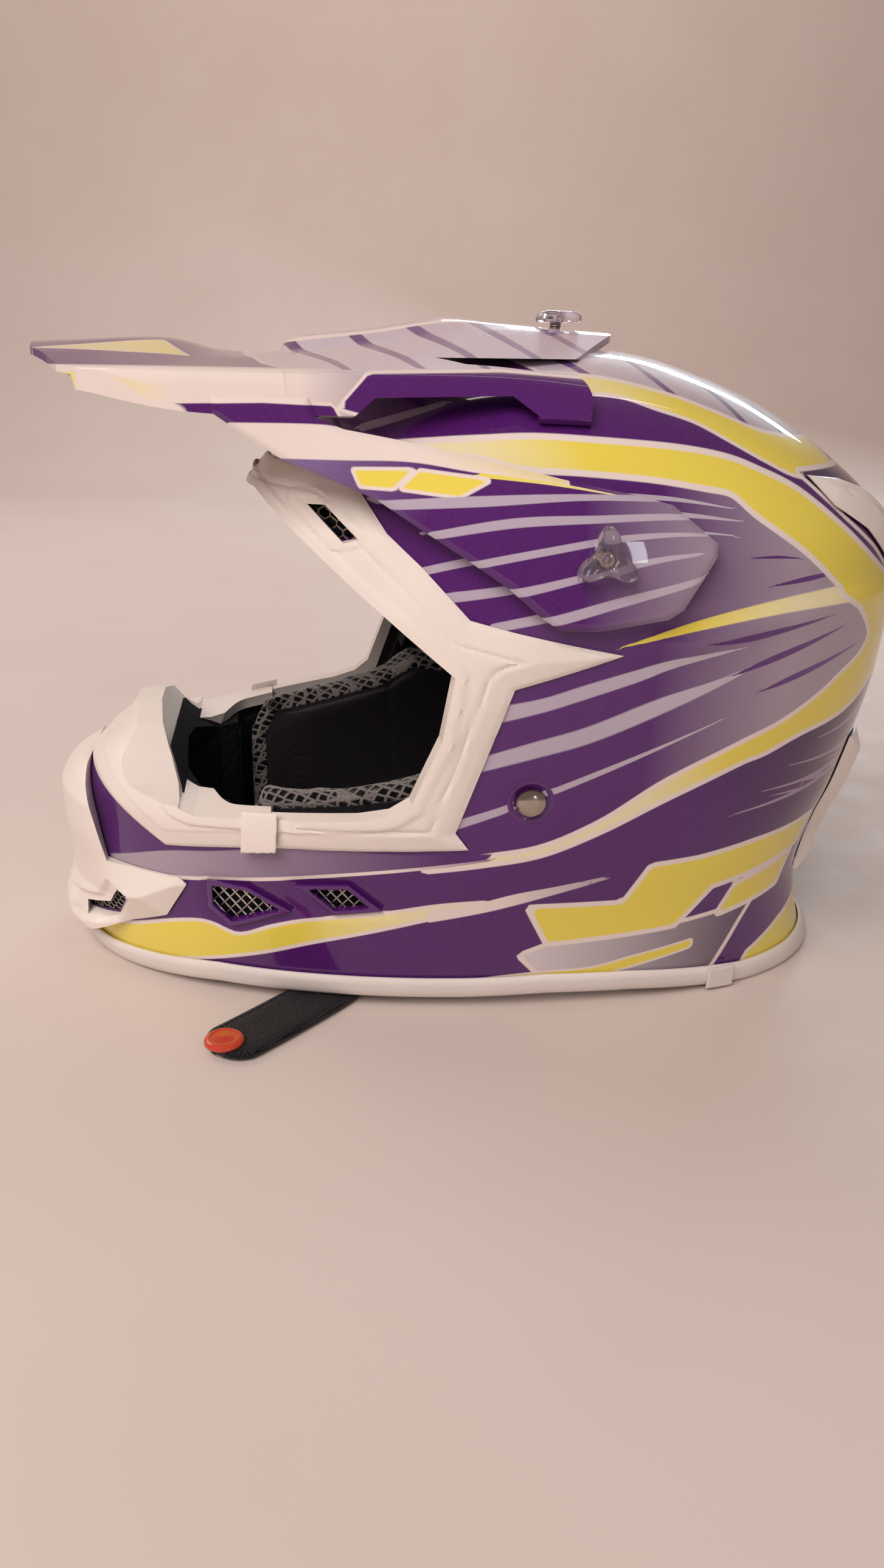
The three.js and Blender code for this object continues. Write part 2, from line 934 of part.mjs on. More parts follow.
function topSpacer() {
  return cylinderZ(6, shellTop - 5, shellTop + 2.2, 0, TOP_SCREW_Y, 16)
    .subtract(body(GAP))
    .subtract(topHole(HOLE));
}

function sideNut() {
  return cylinderX(8, sideX - 11, sideX - 4, PIVOT.y, PIVOT.z, 16)
    .intersect(body(-SHELL_THICKNESS - GAP))
    .subtract(holesAcross(STUD + GAP, PIVOT));
}

function topNut() {
  return cylinderZ(8, shellTop - 12, shellTop - 3, 0, TOP_SCREW_Y, 16)
    .intersect(body(-SHELL_THICKNESS - GAP))
    .subtract(topHole(STUD + GAP));
}

function screwRecess() {
  const geometry = new THREE.CylinderGeometry(3.8, 3.8, 8, 12);
  geometry.translate(0, BROW_SCREW.y - 4 + GAP, BROW_SCREW.z);
  return solid(geometry);
}

function browScrew() {
  return turned(
    [
      [0, 0],
      [3.4, 0],
      [3.4, 1.4],
      [2.2, 2.2],
      [0, 2.2],
    ],
    "y",
    [0, BROW_SCREW.y, BROW_SCREW.z],
    12,
  );
}

// ---------------------------------------------------------------- chin strap

const STRAP_THICKNESS = 2.1;
const STRAP_WIDTH = 25;
const strapDepth = 14.3; // of the strap's middle below the shell's surface
const rivetX = shellX(RIVET.y, RIVET.z);

// Middle line of a strap inside the shell, from above its rivet down to the rim.
const STRAP_DROP = [
  [12.5, 103],
  [8.4, 92],
  [-3, 76],
  [-20, 55],
  [-38, 33],
  [-50, 17],
];

// A flat band through stations that give its middle, its direction across and its outward side.
function band(stations, spare = 0) {
  const rings = stations.map(({ at, across, out }) => {
    const a = new THREE.Vector3(...across).normalize().multiplyScalar(STRAP_WIDTH / 2 + spare);
    const o = new THREE.Vector3(...out).normalize().multiplyScalar(STRAP_THICKNESS / 2 + spare);
    const p = new THREE.Vector3(...at);
    return [
      p.clone().add(a).add(o),
      p.clone().sub(a).add(o),
      p.clone().sub(a).sub(o),
      p.clone().add(a).sub(o),
    ].map((corner) => corner.toArray());
  });
  return loft(rings);
}

function dropStations() {
  return STRAP_DROP.map(([y, z], i) => {
    const before = STRAP_DROP[Math.max(0, i - 1)];
    const after = STRAP_DROP[Math.min(STRAP_DROP.length - 1, i + 1)];
    const slope = new THREE.Vector2(after[0] - before[0], after[1] - before[1]).normalize();
    const reach = 4;
    const [ya, za] = [y - slope.y * reach, z + slope.x * reach];
    const [yb, zb] = [y + slope.y * reach, z - slope.x * reach];
    const across = [shellX(ya, za) - shellX(yb, zb), ya - yb, za - zb];
    const x = shellX(y, z) - strapDepth;
    return { at: [x, y, z], across, out: [1, -0.25, -0.1] };
  });
}

function strapRoom() {
  return band(dropStations(), 1.2);
}

// The long strap goes under the rim and lies on the ground outside, with its tip forwards.
const LONG_END = [
  { at: [71.5, -55, 8.5], across: [0.4, 0.9, 0], out: [1, -0.4, 0.1] },
  { at: [72.5, -57, 4], across: [0.45, 0.88, 0], out: [1, -0.4, 1] },
  { at: [76.5, -61, 2.2], across: [0.55, 0.83, 0], out: [0.2, -0.1, 1] },
  { at: [86, -70, 2.1], across: [0.66, 0.75, 0], out: [0, 0, 1] },
  { at: [104, -89, 2.1], across: [0.76, 0.65, 0], out: [0, 0, 1] },
  { at: [119, -106, 2.1], across: [0.76, 0.65, 0], out: [0, 0, 1] },
];
// The short strap turns inwards under the opening and ends in the loop that holds the D rings.
const SHORT_END = [
  { at: [71.5, -55, 8.5], across: [0.4, 0.9, 0], out: [1, -0.3, -0.3] },
  { at: [69.5, -56.2, 4.2], across: [0.42, 0.9, 0], out: [0.9, -0.3, -1] },
  { at: [64, -58, 2.6], across: [0.39, 0.92, 0], out: [0.2, 0, -1] },
  { at: [47.7, -63.3, 2.4], across: [-0.378, 0.926, 0], out: [0, 0, -1] },
];
const BUTTON = { x: 115, y: -103 };
const LOOP = { x: 41, y: -66, angle: 0.388 };

function longStrap() {
  return band([...dropStations(), ...LONG_END])
    .subtract(holesAcross(STUD + 4 * GAP, RIVET))
    .subtract(cylinderZ(STUD + GAP, -5, 12, BUTTON.x, BUTTON.y, 12));
}

// A block with a hole through it, in the frame of the D rings.
function loopBlock() {
  const outside = [
    [8, -1.9],
    [8, 5.4],
    [-6.5, 5.4],
    [-6.5, -1.9],
  ];
  const hole = [
    [6, -0.1],
    [6, 3.9],
    [-4.7, 3.9],
    [-4.7, -0.1],
  ];
  const geometry = (outline) => {
    const made = new THREE.ExtrudeGeometry(shapeOf(outline), { depth: 24, bevelEnabled: false });
    made.rotateX(Math.PI / 2);
    made.translate(0, 12, 0);
    return solid(made);
  };
  return moved(geometry(outside).subtract(geometry(hole)), loopPlace());
}

function loopPlace() {
  const place = new THREE.Matrix4().makeRotationZ(LOOP.angle);
  place.setPosition(LOOP.x, LOOP.y, 2.4);
  return place;
}

function shortStrap() {
  return mirrored(
    band([...dropStations(), ...SHORT_END])
      .subtract(holesAcross(STUD + 4 * GAP, RIVET))
      .add(loopBlock()),
  );
}

const RING_WIRE = 1.5;

// A D shaped ring whose straight bar lies in the strap's loop.
function dRing(bar, reach, lift, lean) {
  const half = 14.5;
  const corners = [
    [bar, -half],
    [bar, half],
    [bar - 0.35 * reach, half],
    [bar - 0.8 * reach, 0.72 * half],
    [bar - reach, 0.3 * half],
    [bar - reach, -0.3 * half],
    [bar - 0.8 * reach, -0.72 * half],
    [bar - 0.35 * reach, -half],
  ];
  const rings = corners.map(([x, y], i) => {
    const before = corners[(i + 7) % 8];
    const after = corners[(i + 1) % 8];
    const into = new THREE.Vector2(x - before[0], y - before[1]).normalize();
    const onward = new THREE.Vector2(after[0] - x, after[1] - y).normalize();
    const along = into.clone().add(onward).normalize();
    const mitre = 1 / Math.max(0.5, along.dot(into));
    const ring = [];
    for (let k = 0; k < 8; k++) {
      const angle = (Math.PI * (2 * k + 1)) / 8;
      const side = RING_WIRE * Math.cos(angle) * mitre;
      ring.push([x - along.y * side, y + along.x * side, lift + RING_WIRE * Math.sin(angle)]);
    }
    return ring;
  });
  const leant = new THREE.Matrix4()
    .makeTranslation(bar, 0, lift)
    .multiply(new THREE.Matrix4().makeRotationY(lean))
    .multiply(new THREE.Matrix4().makeTranslation(-bar, 0, -lift));
  return mirrored(moved(loft(rings, true), loopPlace().multiply(leant)));
}

// Dome outside the shell, shank through the shell and strap, and head inside.
function rivet() {
  return turned(
    [
      [0, -19],
      [5.5, -19],
      [5.5, -17.2],
      [STUD, -17.2],
      [STUD, 0.6],
      [4.8, 0.6],
      [4.3, 2],
      [2.6, 3],
      [0, 3.3],
    ],
    "x",
    [rivetX, RIVET.y, RIVET.z],
    14,
  ).subtract(shellSpace.subtract(holesAcross(HOLE - GAP, RIVET)));
}

function anchorWasher() {
  return cylinderX(8, rivetX - 9, rivetX - 3, RIVET.y, RIVET.z, 16)
    .intersect(body(-SHELL_THICKNESS - GAP))
    .subtract(holesAcross(STUD + 4 * GAP, RIVET));
}

function snapCap() {
  return turned(
    [
      [0, 0.4],
      [STUD, 0.4],
      [STUD, 3.5],
      [7.4, 3.5],
      [7.4, 4.4],
      [6, 5.8],
      [0, 6.2],
    ],
    "z",
    [BUTTON.x, BUTTON.y, 0],
    18,
  );
}

function snapSocket() {
  return cylinderZ(5.2, 0.1, 0.75, BUTTON.x, BUTTON.y, 16).subtract(
    cylinderZ(STUD + GAP, -5, 5, BUTTON.x, BUTTON.y, 12),
  );
}

// ---------------------------------------------------------------- assembly

const COLOURS = {
  shell: [0x4b2272, 0.16, 0],
  white: [0xf1e6dc, 0.42, 0],
  foam: [0x18171b, 0.95, 0],
  cloth: [0x131215, 0.9, 0],
  webbing: [0x19181b, 0.85, 0],
  mesh: [0xc8c2b8, 0.35, 1],
  grille: [0x1c1b1f, 0.6, 0],
  knob: [0xd9d2dc, 0.12, 0],
  steel: [0xb9bac0, 0.3, 1],
  button: [0x7c1f16, 0.4, 0],
};

const helmet = new THREE.Group();

function add(name, made, colour) {
  const [hex, roughness, metalness] = COLOURS[colour];
  const material = new THREE.MeshStandardMaterial({ color: hex, roughness, metalness });
  const mesh = new THREE.Mesh(geometryOf(made), material);
  mesh.name = name;
  helmet.add(mesh);
}

// A left piece and its mirror image on the right.
function addPair(name, made, colour) {
  for (const [side, sign] of SIDES) add(`${name}_${side}`, onSide(made, sign), colour);
}

add("outer_shell", outerShell(), "shell");
add("crown_liner", crownLiner(), "foam");
add("chin_liner", chinLiner(), "foam");
add("breath_foam", breathFoam(), "foam");
add("comfort_liner", comfortLiner(), "cloth");
add("neck_roll", neckRoll(), "cloth");
addPair("cheek_pad", cheekPad(), "cloth");

add("eye_port_trim", eyePortTrim(), "white");
add("mouthpiece", mouthpiece(), "white");
addPair("mouthpiece_clip", clip(), "white");
add("mouth_vent", mouthVent(), "white");
add("rim_trim", rimTrim(), "white");
addPair("rim_join", rimJoin(), "white");
add("rear_scoop", rearScoop(), "white");
addPair("rear_exhaust", rearExhaust(), "white");
add("brow_screw", browScrew(), "steel");

addPair("brow_grille", grille(BROW_VENT), "grille");
addPair("mouth_grille", grille(CHIN_SLOT), "grille");
addPair("chin_front_mesh", grille(FRONT_VENT), "mesh");
addPair("chin_rear_mesh", grille(REAR_VENT), "mesh");

add("peak", peak(), "shell");
addPair("peak_knob", sideKnob(), "knob");
addPair("peak_spacer", sideSpacer(), "grille");
addPair("peak_nut", sideNut(), "steel");
add("peak_top_knob", topKnob(), "knob");
add("peak_top_spacer", topSpacer(), "grille");
add("peak_top_nut", topNut(), "steel");

add("strap_long", longStrap(), "webbing");
add("strap_short", shortStrap(), "webbing");
addPair("strap_rivet", rivet(), "steel");
addPair("strap_washer", anchorWasher(), "steel");
add("d_ring_inner", dRing(3.9, 22, 1.9, 0.56), "steel");
add("d_ring_outer", dRing(-2.6, 22, 1.9, 0), "steel");
add("snap_cap", snapCap(), "button");
add("snap_socket", snapSocket(), "steel");

export default helmet;
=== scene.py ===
import math

import bmesh
import bpy
import numpy as np
from mathutils import Matrix, Vector


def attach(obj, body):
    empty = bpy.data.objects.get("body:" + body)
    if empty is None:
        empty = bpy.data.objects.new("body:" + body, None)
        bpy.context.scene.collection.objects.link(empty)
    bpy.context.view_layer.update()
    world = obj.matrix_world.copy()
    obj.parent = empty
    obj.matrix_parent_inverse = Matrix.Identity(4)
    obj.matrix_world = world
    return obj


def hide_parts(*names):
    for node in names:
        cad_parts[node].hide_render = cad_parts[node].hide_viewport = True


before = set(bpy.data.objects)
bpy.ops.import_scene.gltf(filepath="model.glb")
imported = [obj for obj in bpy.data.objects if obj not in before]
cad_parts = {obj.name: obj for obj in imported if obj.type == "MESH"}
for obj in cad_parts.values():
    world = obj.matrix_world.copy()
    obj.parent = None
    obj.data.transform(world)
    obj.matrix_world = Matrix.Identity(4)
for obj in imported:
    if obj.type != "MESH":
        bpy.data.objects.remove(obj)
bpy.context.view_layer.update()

# Lengths are in millimetres until a mesh is made. The helmet faces -Y, the wearer's left is +X,
# and side view outlines are pairs of y and z.
MM = 0.001
TINY, FAR, HUGE = 1e-9, 50.0, 1e9
CURVE_STEP, STRAP_STEP = 2.5, 2.2

# ---------------------------------------------------------------- the shell's shape

# Level sections: height, half width, y of the widest place, y of the front and of the back.
SECTIONS = [
    (-14, 90, 20, -156, 152), (0, 94, 20, -163, 155), (16, 98, 20, -167, 150),
    (40, 103, 20, -166, 147), (62, 108, 22, -165, 153), (80, 111.5, 24, -160, 161),
    (104, 116, 26, -131, 168), (130, 120, 28, -111, 172.5), (158, 122, 32, -97, 173),
    (184, 119, 34, -89, 166), (207, 108, 32, -77, 142), (224.5, 91, 28, -59, 115),
    (236.5, 66, 25, -37, 86), (243, 37, 24, -12, 61), (245, 0, 24, 24, 24),
]
# Heights with the power of the superellipse behind the widest place. In front it is 2.
BACK_ROUNDNESS = [(0, 2.8), (100, 2.35), (190, 2.3), (240, 2.05)]
RIM_LINE = [
    (-200, 0), (-150, 0), (-128, 2), (-105, 4.4), (-60, 4.7), (-10, 4.8), (20, 5.6), (55, 4.6),
    (90, 1.6), (106, 0), (200, 0),
]
EYE_PORT = [
    (-230, 193), (-86, 193), (-20, 139), (-24, 116), (-34, 92), (-41, 87), (-52, 84.5),
    (-112, 79), (-117.5, 80.5), (-123.5, 93), (-128, 104.5), (-230, 104.5),
]
SHELL_PORT = [
    (-230, 198), (-86, 198), (-14, 141), (-19, 114), (-30, 86), (-52, 79), (-108, 74),
    (-117, 80), (-122, 92), (-230, 92),
]
TRIM = [
    (-120, 204), (-60, 203), (-50, 198), (-41, 184), (-30, 174), (-15, 158), (0, 154.5),
    (36, 147), (0, 135), (-18, 80), (-13, 73), (-83, 69.6), (-83, 90), (-120, 170),
]
NOSE = [
    (-83.4, 69.6), (-104, 66.5), (-124, 63), (-157.6, 83), (-230, 84), (-230, 130),
    (-83.4, 130),
]
# Upper edge of the mouthpiece seen from the front, x and z, from the middle to the left.
NOSE_ARCH = [
    (0, 104.5), (9, 104.5), (29, 100), (42, 90.5), (56, 83.5), (70, 81), (80, 81.5), (84, 95),
]
NOSE_CAP = 2.6
ARM_NOTCH = [(-60, 200), (-60, 214), (-44, 227.2), (1, 228.4), (9, 222.4), (12, 200)]
CHIN_VENT = [
    (-230, 83.4), (-158, 82.4), (-150, 48.5), (-120, 50), (-117, 47.5), (-126, 31.5),
    (-166, 12.5), (-230, 12.5),
]
CHIN_SLOT = [(-161, 20), (-147, 25), (-142, 36), (-146, 37), (-150, 29), (-161, 24.5)]
FRONT_VENT = [(-107, 49), (-94, 49), (-81, 42), (-100, 34), (-107, 40)]
REAR_VENT = [(-71, 52.7), (-56.5, 54), (-47.5, 46.2), (-61, 44)]
BROW_VENT = [(-67, 191), (-61, 191.5), (-50.5, 181.5), (-55.5, 180)]
CLIP = [(-95, 67.4), (-82, 69.2), (-81, 84.6), (-94, 83.6)]
REAR_SPOILER = [
    (107, 203), (123, 201), (139, 196.5), (156, 187), (200, 187), (200, 160), (163, 160),
    (148, 172), (134, 184), (117, 193),
]
# Seen from behind, x and z, on the left.
REAR_EXHAUST = [(31, 98.5), (68, 98.5), (63, 76), (56, 55), (60, 37.5), (31, 37.5)]
SIDE_PLATE = [
    (-98, 222), (-88, 215.5), (-75, 207.5), (-56, 200.4), (-45, 196), (-17, 178.5), (-4, 170),
    (7, 160.5), (13, 156.8), (26, 156.5), (49, 160), (54, 163), (65, 180), (65, 184), (50, 196),
    (40, 198.5), (15, 203.5), (-28, 213), (-55, 217.5), (-64, 221), (-66, 227), (-98, 227),
]
CHEEK_PAD = [
    (-96, 20), (38, 20), (35, 66), (20, 98), (-14, 104), (-32, 95), (-52, 91), (-88, 85),
    (-96, 68),
]
SCREW_HOLE, STRAP_HOLE = 3.3, 3.6
BROW_SCREW = (-84.6, 197.5)
PIVOT = (26.5, 180)
TOP_SCREW_Y = 35
RIVET = (8.4, 92)
PLATE_X = 122.8
PEAK_TOP = 251.6
WALL = 4
GLUE, FIT = 0.3, 0.35  # from the shell's surface to what is fixed on it
LAST = len(SECTIONS) - 1


def along(table, position):
    """Catmull-Rom rows of a table at positions counted in rows."""
    rows = np.asarray(table, float)
    last = len(rows) - 1
    position = np.asarray(position, float)
    row = np.clip(np.floor(position).astype(int), 0, last - 1)
    f = (position - row)[..., None]
    p0, p1 = rows[np.maximum(row - 1, 0)], rows[row]
    p2, p3 = rows[row + 1], rows[np.minimum(row + 2, last)]
    m1, m2 = (p2 - p0) / 2, (p3 - p1) / 2
    return p1 + (p2 - p1) * f * f * (3 - 2 * f) + f * (1 - f) * ((1 - f) * m1 - f * m2)


def eased(table, at):
    """Smoothstep interpolation of a table of pairs."""
    table = np.asarray(table, float)
    row = np.clip(np.searchsorted(table[:, 0], at) - 1, 0, len(table) - 2)
    a, b = table[row], table[row + 1]
    f = np.clip((at - a[..., 0]) / (b[..., 0] - a[..., 0]), 0, 1)
    return a[..., 1] + (b[..., 1] - a[..., 1]) * f * f * (3 - 2 * f)


def unit(vectors):
    return vectors / np.linalg.norm(vectors, axis=-1, keepdims=True)


def full_turn(count):
    """Equal angles round a circle."""
    return np.arange(count) * 2 * math.pi / count


def on_shell(angle, position):
    """Points at angles round the shell, 0 at the front and a quarter turn at the left."""
    z, half, wide, front, back = np.moveaxis(along(SECTIONS, position), -1, 0)
    c, s = np.cos(angle), np.sin(angle)
    power = 2 / np.where(c < 0, eased(BACK_ROUNDNESS, z), 2)
    reach = np.where(c > 0, wide - front, back - wide)
    x = half * np.sign(s) * np.abs(s) ** power
    y = wide - reach * np.sign(c) * np.abs(c) ** power
    return np.stack([x, y, z], -1)


def normals(angle, position):
    """Outward directions at the points of on_shell."""
    step = 0.02
    position = np.minimum(position, LAST - 2 * step)
    here = on_shell(angle, position)
    turn = on_shell(angle + step, position) - here
    rise = on_shell(angle, position + step) - here
    return unit(np.cross(turn, rise))


TRACK = np.linspace(0, LAST, 1401)
TRACK_Z = np.maximum.accumulate(along(SECTIONS, TRACK)[:, 0] + TRACK * 1e-6)


def at_height(z):
    """The position in the table of sections at a height."""
    return np.interp(z, TRACK_Z, TRACK)


def shell_x(y, z):
    """Half width of the shell at places in the side view."""
    _, half, wide, front, back = np.moveaxis(along(SECTIONS, at_height(z)), -1, 0)
    behind = y > wide
    across = np.where(behind, (y - wide) / (back - wide), (wide - y) / (wide - front))
    power = np.where(behind, eased(BACK_ROUNDNESS, z), 2)
    return half * (1 - np.clip(across, 0, 1) ** power) ** (1 / power)


def spread(counts):
    """Positions counted in rows that part the spans between rows into equal steps."""
    return np.concatenate([i + np.arange(n) / n for i, n in enumerate(counts)] + [[len(counts)]])


def span_lengths(points):
    return np.linalg.norm(np.diff(points, axis=0), axis=1)


def half_width(place):
    """Half width of the shell at one place in the side view."""
    return float(shell_x(*np.array([place]).T)[0])


def curve_through(points):
    """A smooth open line through points, resampled."""
    points = np.asarray(points, float)
    return along(points, spread([max(1, int(n / CURVE_STEP)) for n in span_lengths(points)]))


def to_segment(points, a, b):
    """Where along a segment the nearest spot to each 2-D point is, and the step from it."""
    side = b - a
    t = np.clip(((points - a) @ side) / max(side @ side, TINY), 0, 1)
    return t, points - a - t[:, None] * side


def inside(points, outline):
    """Signed distance of 2-D points to an outline, positive inside, and -FAR well outside it."""
    points = np.asarray(points, float)
    outline = np.asarray(outline, float)
    result = np.full(len(points), -FAR)
    low, high = outline.min(0) - 12, outline.max(0) + 12
    near = np.all((points > low) & (points < high), axis=1)
    p = points[near]
    best = np.full(len(p), HUGE)
    within = np.zeros(len(p), bool)
    for a, b in zip(outline, np.roll(outline, -1, 0)):
        side = b - a
        best = np.minimum(best, np.hypot(*to_segment(p, a, b)[1].T))
        if a[1] != b[1]:
            crossing = (a[1] > p[:, 1]) != (b[1] > p[:, 1])
            cut = a[0] + (p[:, 1] - a[1]) * side[0] / side[1]
            within ^= crossing & (p[:, 0] < cut)
    result[near] = np.where(within, best, -best)
    return result


def ribbons(points, lines):
    """Where 2-D points lie across the nearest of some tapering lines of y, z and width: a signed
    share of its half width, and the distance to its edge."""
    share, gap = np.full(len(points), FAR), np.full(len(points), FAR)
    nearest = np.full(len(points), HUGE)
    for rows in lines:
        path = curve_through(rows)
        low, high = path[:, :2].min(0) - 8, path[:, :2].max(0) + 8
        near = np.flatnonzero(np.all((points > low) & (points < high), axis=1))
        p = points[near]
        for a, b in zip(path[:-1], path[1:]):
            side = b[:2] - a[:2]
            t, off = to_segment(p, a[:2], b[:2])
            d = np.hypot(*off.T)
            half = np.maximum(a[2] + (b[2] - a[2]) * t, 0.1) / 2
            sign = np.where(off[:, 1] * side[0] - off[:, 0] * side[1] > 0, 1.0, -1.0)
            closer = d < nearest[near]
            at = near[closer]
            nearest[at] = d[closer]
            share[at] = (sign * d / half)[closer]
            gap[at] = (d - half)[closer]
    return np.clip(share, -30, 30), gap


def grown(outline, distance):
    """An outline moved outwards all round, or inwards by a negative distance."""
    p = np.asarray(outline, float)
    before, after = np.roll(p, 1, 0), np.roll(p, -1, 0)
    area = np.sum(p[:, 0] * after[:, 1] - after[:, 0] * p[:, 1])
    a, b = unit(p - before), unit(after - p)
    out = unit(np.stack([(a + b)[:, 1], -(a + b)[:, 0]], 1) * np.sign(area))
    mitre = np.sum(out * np.stack([a[:, 1], -a[:, 0]], 1), 1) * np.sign(area)
    return p + out * (distance / np.maximum(0.35, mitre))[:, None]


# ---------------------------------------------------------------- mesh helpers


def mesh_object(name, points, faces):
    """A new object from points in millimetres."""
    mesh = bpy.data.meshes.new(name)
    mesh.from_pydata((np.asarray(points, float) * MM).tolist(), [], [list(f) for f in faces])
    mesh.validate()
    piece = bpy.data.objects.new(name, mesh)
    bpy.context.scene.collection.objects.link(piece)
    return piece


def facing_out(piece):
    """Turns all faces of a closed piece outwards."""
    work = bmesh.new()
    work.from_mesh(piece.data)
    bmesh.ops.recalc_face_normals(work, faces=work.faces)
    if work.calc_volume(signed=True) < 0:
        bmesh.ops.reverse_faces(work, faces=work.faces)
    work.to_mesh(piece.data)
    work.free()
    return piece


def grid_faces(rows, columns, wrap, start=0, flip=False):
    faces = []
    for i in range(rows - 1):
        for j in range(columns if wrap else columns - 1):
            k = (j + 1) % columns
            a, b = start + i * columns, start + (i + 1) * columns
            face = (a + j, a + k, b + k, b + j)
            faces.append(face[::-1] if flip else face)
    return faces


def ring_faces(rows, sides, closed):
    """Faces of rings in a row, which is closed on itself or has a face at each end."""
    faces = grid_faces(rows, sides, True)
    last = (rows - 1) * sides
    if closed:
        following = [(j, (j + 1) % sides) for j in range(sides)]
        return faces + [(last + j, last + k, k, j) for j, k in following]
    return faces + [tuple(range(sides)), tuple(range(last + sides - 1, last - 1, -1))]


def capped(points, ends, rows, sides):
    """Rings in a row with a fan to a middle point at each end: points and faces."""
    faces = grid_faces(rows, sides, True)
    low, high, top = len(points), len(points) + 1, (rows - 1) * sides
    for j in range(sides):
        k = (j + 1) % sides
        faces += [(low, k, j), (high, top + j, top + k)]
    return np.vstack([points, *ends]), faces


def ball(distance, around, rise):
    """Everything inside the surface a distance off the shell."""
    ladder = np.linspace(0, LAST, 400)
    side = on_shell(np.full(400, math.pi / 2), ladder) + on_shell(np.full(400, math.pi), ladder)
    length = np.concatenate([[0], np.cumsum(span_lengths(side))])
    positions = np.interp(np.linspace(0, length[-1], rise + 1), length, ladder)[:-1]
    a, p = np.meshgrid(full_turn(around), positions)
    points = (on_shell(a, p) + normals(a, p) * distance).reshape(-1, 3)
    ends = [(0, SECTIONS[0][2], points[0][2] - 3), (0, SECTIONS[-1][2], SECTIONS[-1][0] + distance)]
    return facing_out(mesh_object("ball", *capped(points, ends, rise, around)))


def sheet_between(top, bottom):
    """A closed sheet between two grids of points."""
    rows, columns = top.shape[:2]
    count = rows * columns
    faces = grid_faces(rows, columns, False) + grid_faces(rows, columns, False, count, True)
    for j in range(columns - 1):
        last = (rows - 1) * columns + j
        faces.append((j + 1, j, count + j, count + j + 1))
        faces.append((last, last + 1, count + last + 1, count + last))
    for i in range(rows - 1):
        a, b = i * columns, (i + 1) * columns
        c, d = a + columns - 1, b + columns - 1
        faces.append((a, b, count + b, count + a))
        faces.append((d, c, count + c, count + d))
    points = np.vstack([top.reshape(-1, 3), bottom.reshape(-1, 3)])
    return facing_out(mesh_object("sheet", points, faces))


def slab(inner, outer, angles, heights, columns, rows, level=False):
    """A closed layer between two distances off the shell, over a span of angle and height.
    A distance may be a function of the points under it. Where level, the inner face is moved
    level, which keeps a deep one from crossing itself."""
    positions = at_height(np.linspace(*heights, rows))
    a, p = np.meshgrid(np.radians(np.linspace(*angles, columns)), positions)
    base, out = on_shell(a, p).reshape(-1, 3), normals(a, p).reshape(-1, 3)
    layers = []
    for distance, flat in ((outer, False), (inner, level)):
        way = out * [1, 1, 0] if flat else out
        d = distance(base) if callable(distance) else np.full(len(base), float(distance))
        layers.append((base + unit(way) * d[:, None]).reshape(rows, columns, 3))
    return sheet_between(*layers)


AXES = {"x": (1, 2, 0), "y": (0, 2, 1), "z": (0, 1, 2)}


def prism(outline, axis="x", low=-240, high=240):
    """An outline extruded along an axis."""
    outline = np.asarray(outline, float)
    n = len(outline)
    points = np.zeros((2 * n, 3))
    first, second, third = AXES[axis]
    points[:, first] = np.tile(outline[:, 0], 2)
    points[:, second] = np.tile(outline[:, 1], 2)
    points[:, third] = np.repeat([low, high], n)
    faces = [tuple(range(n)), tuple(range(2 * n - 1, n - 1, -1))]
    faces += [(i, (i + 1) % n, n + (i + 1) % n, n + i) for i in range(n)]
    return facing_out(mesh_object("prism", points, faces))


def both_sides(outline):
    """A closed outline from its left half, whose ends are in the middle."""
    return list(outline) + [(-x, y) for x, y in outline[-2:0:-1]]


def below_arch():
    return prism(both_sides(NOSE_ARCH + [(140, 95), (140, 40), (0, 40)]), "y")


def above_arch(lowered):
    """The chin's space above an edge a distance below the mouthpiece's."""
    edge = [(x, z - lowered) for x, z in NOSE_ARCH]
    return prism(both_sides(edge + [(84, 140), (0, 140)]), "y", -230, -100.5)


def box(left, right, low, high):
    return [(left, low), (right, low), (right, high), (left, high)]


def circle(radius, centre, sides=32):
    turn = full_turn(sides)
    return np.stack([centre[0] + radius * np.cos(turn), centre[1] + radius * np.sin(turn)], 1)


def apply_all(piece):
    """Makes the piece's modifiers real."""
    result = piece.evaluated_get(bpy.context.evaluated_depsgraph_get())
    mesh = bpy.data.meshes.new_from_object(result)
    piece.modifiers.clear()
    old, piece.data = piece.data, mesh
    bpy.data.meshes.remove(old)
    return piece


def combine(piece, *steps):
    """Boolean steps, each an operation and a tool object, which is used up."""
    for operation, tool in steps:
        modifier = piece.modifiers.new("cut", "BOOLEAN")
        modifier.operation = operation
        modifier.solver = "MANIFOLD"
        modifier.object = tool
    apply_all(piece)
    for _, tool in steps:
        bpy.data.objects.remove(tool)
    return piece


def cut(piece, *tools):
    return combine(piece, *(("DIFFERENCE", tool) for tool in tools))


def keep(piece, *tools):
    return combine(piece, *(("INTERSECT", tool) for tool in tools))


def moulded(piece, voxel, rounds):
    """Rounds every edge: voxels, then smoothing."""
    remesh = piece.modifiers.new("voxels", "REMESH")
    remesh.mode = "VOXEL"
    remesh.voxel_size = voxel * MM
    smooth = piece.modifiers.new("smooth", "SMOOTH")
    smooth.iterations = rounds
    return apply_all(piece)


def vertex_data(piece, kind):
    values = np.empty(len(piece.data.vertices) * 3)
    piece.data.vertices.foreach_get(kind, values)
    return values.reshape(-1, 3)


def points_of(piece):
    return vertex_data(piece, "co") / MM


def set_points(piece, points):
    piece.data.vertices.foreach_set("co", (np.asarray(points) * MM).ravel())
    piece.data.update()


def point_normals(piece):
    return vertex_data(piece, "normal")


def attribute(piece, name, values):
    """Stores a level for a material to read."""
    made = piece.data.attributes.new(name, "FLOAT", "POINT")
    made.data.foreach_set("value", np.asarray(values, np.float32))


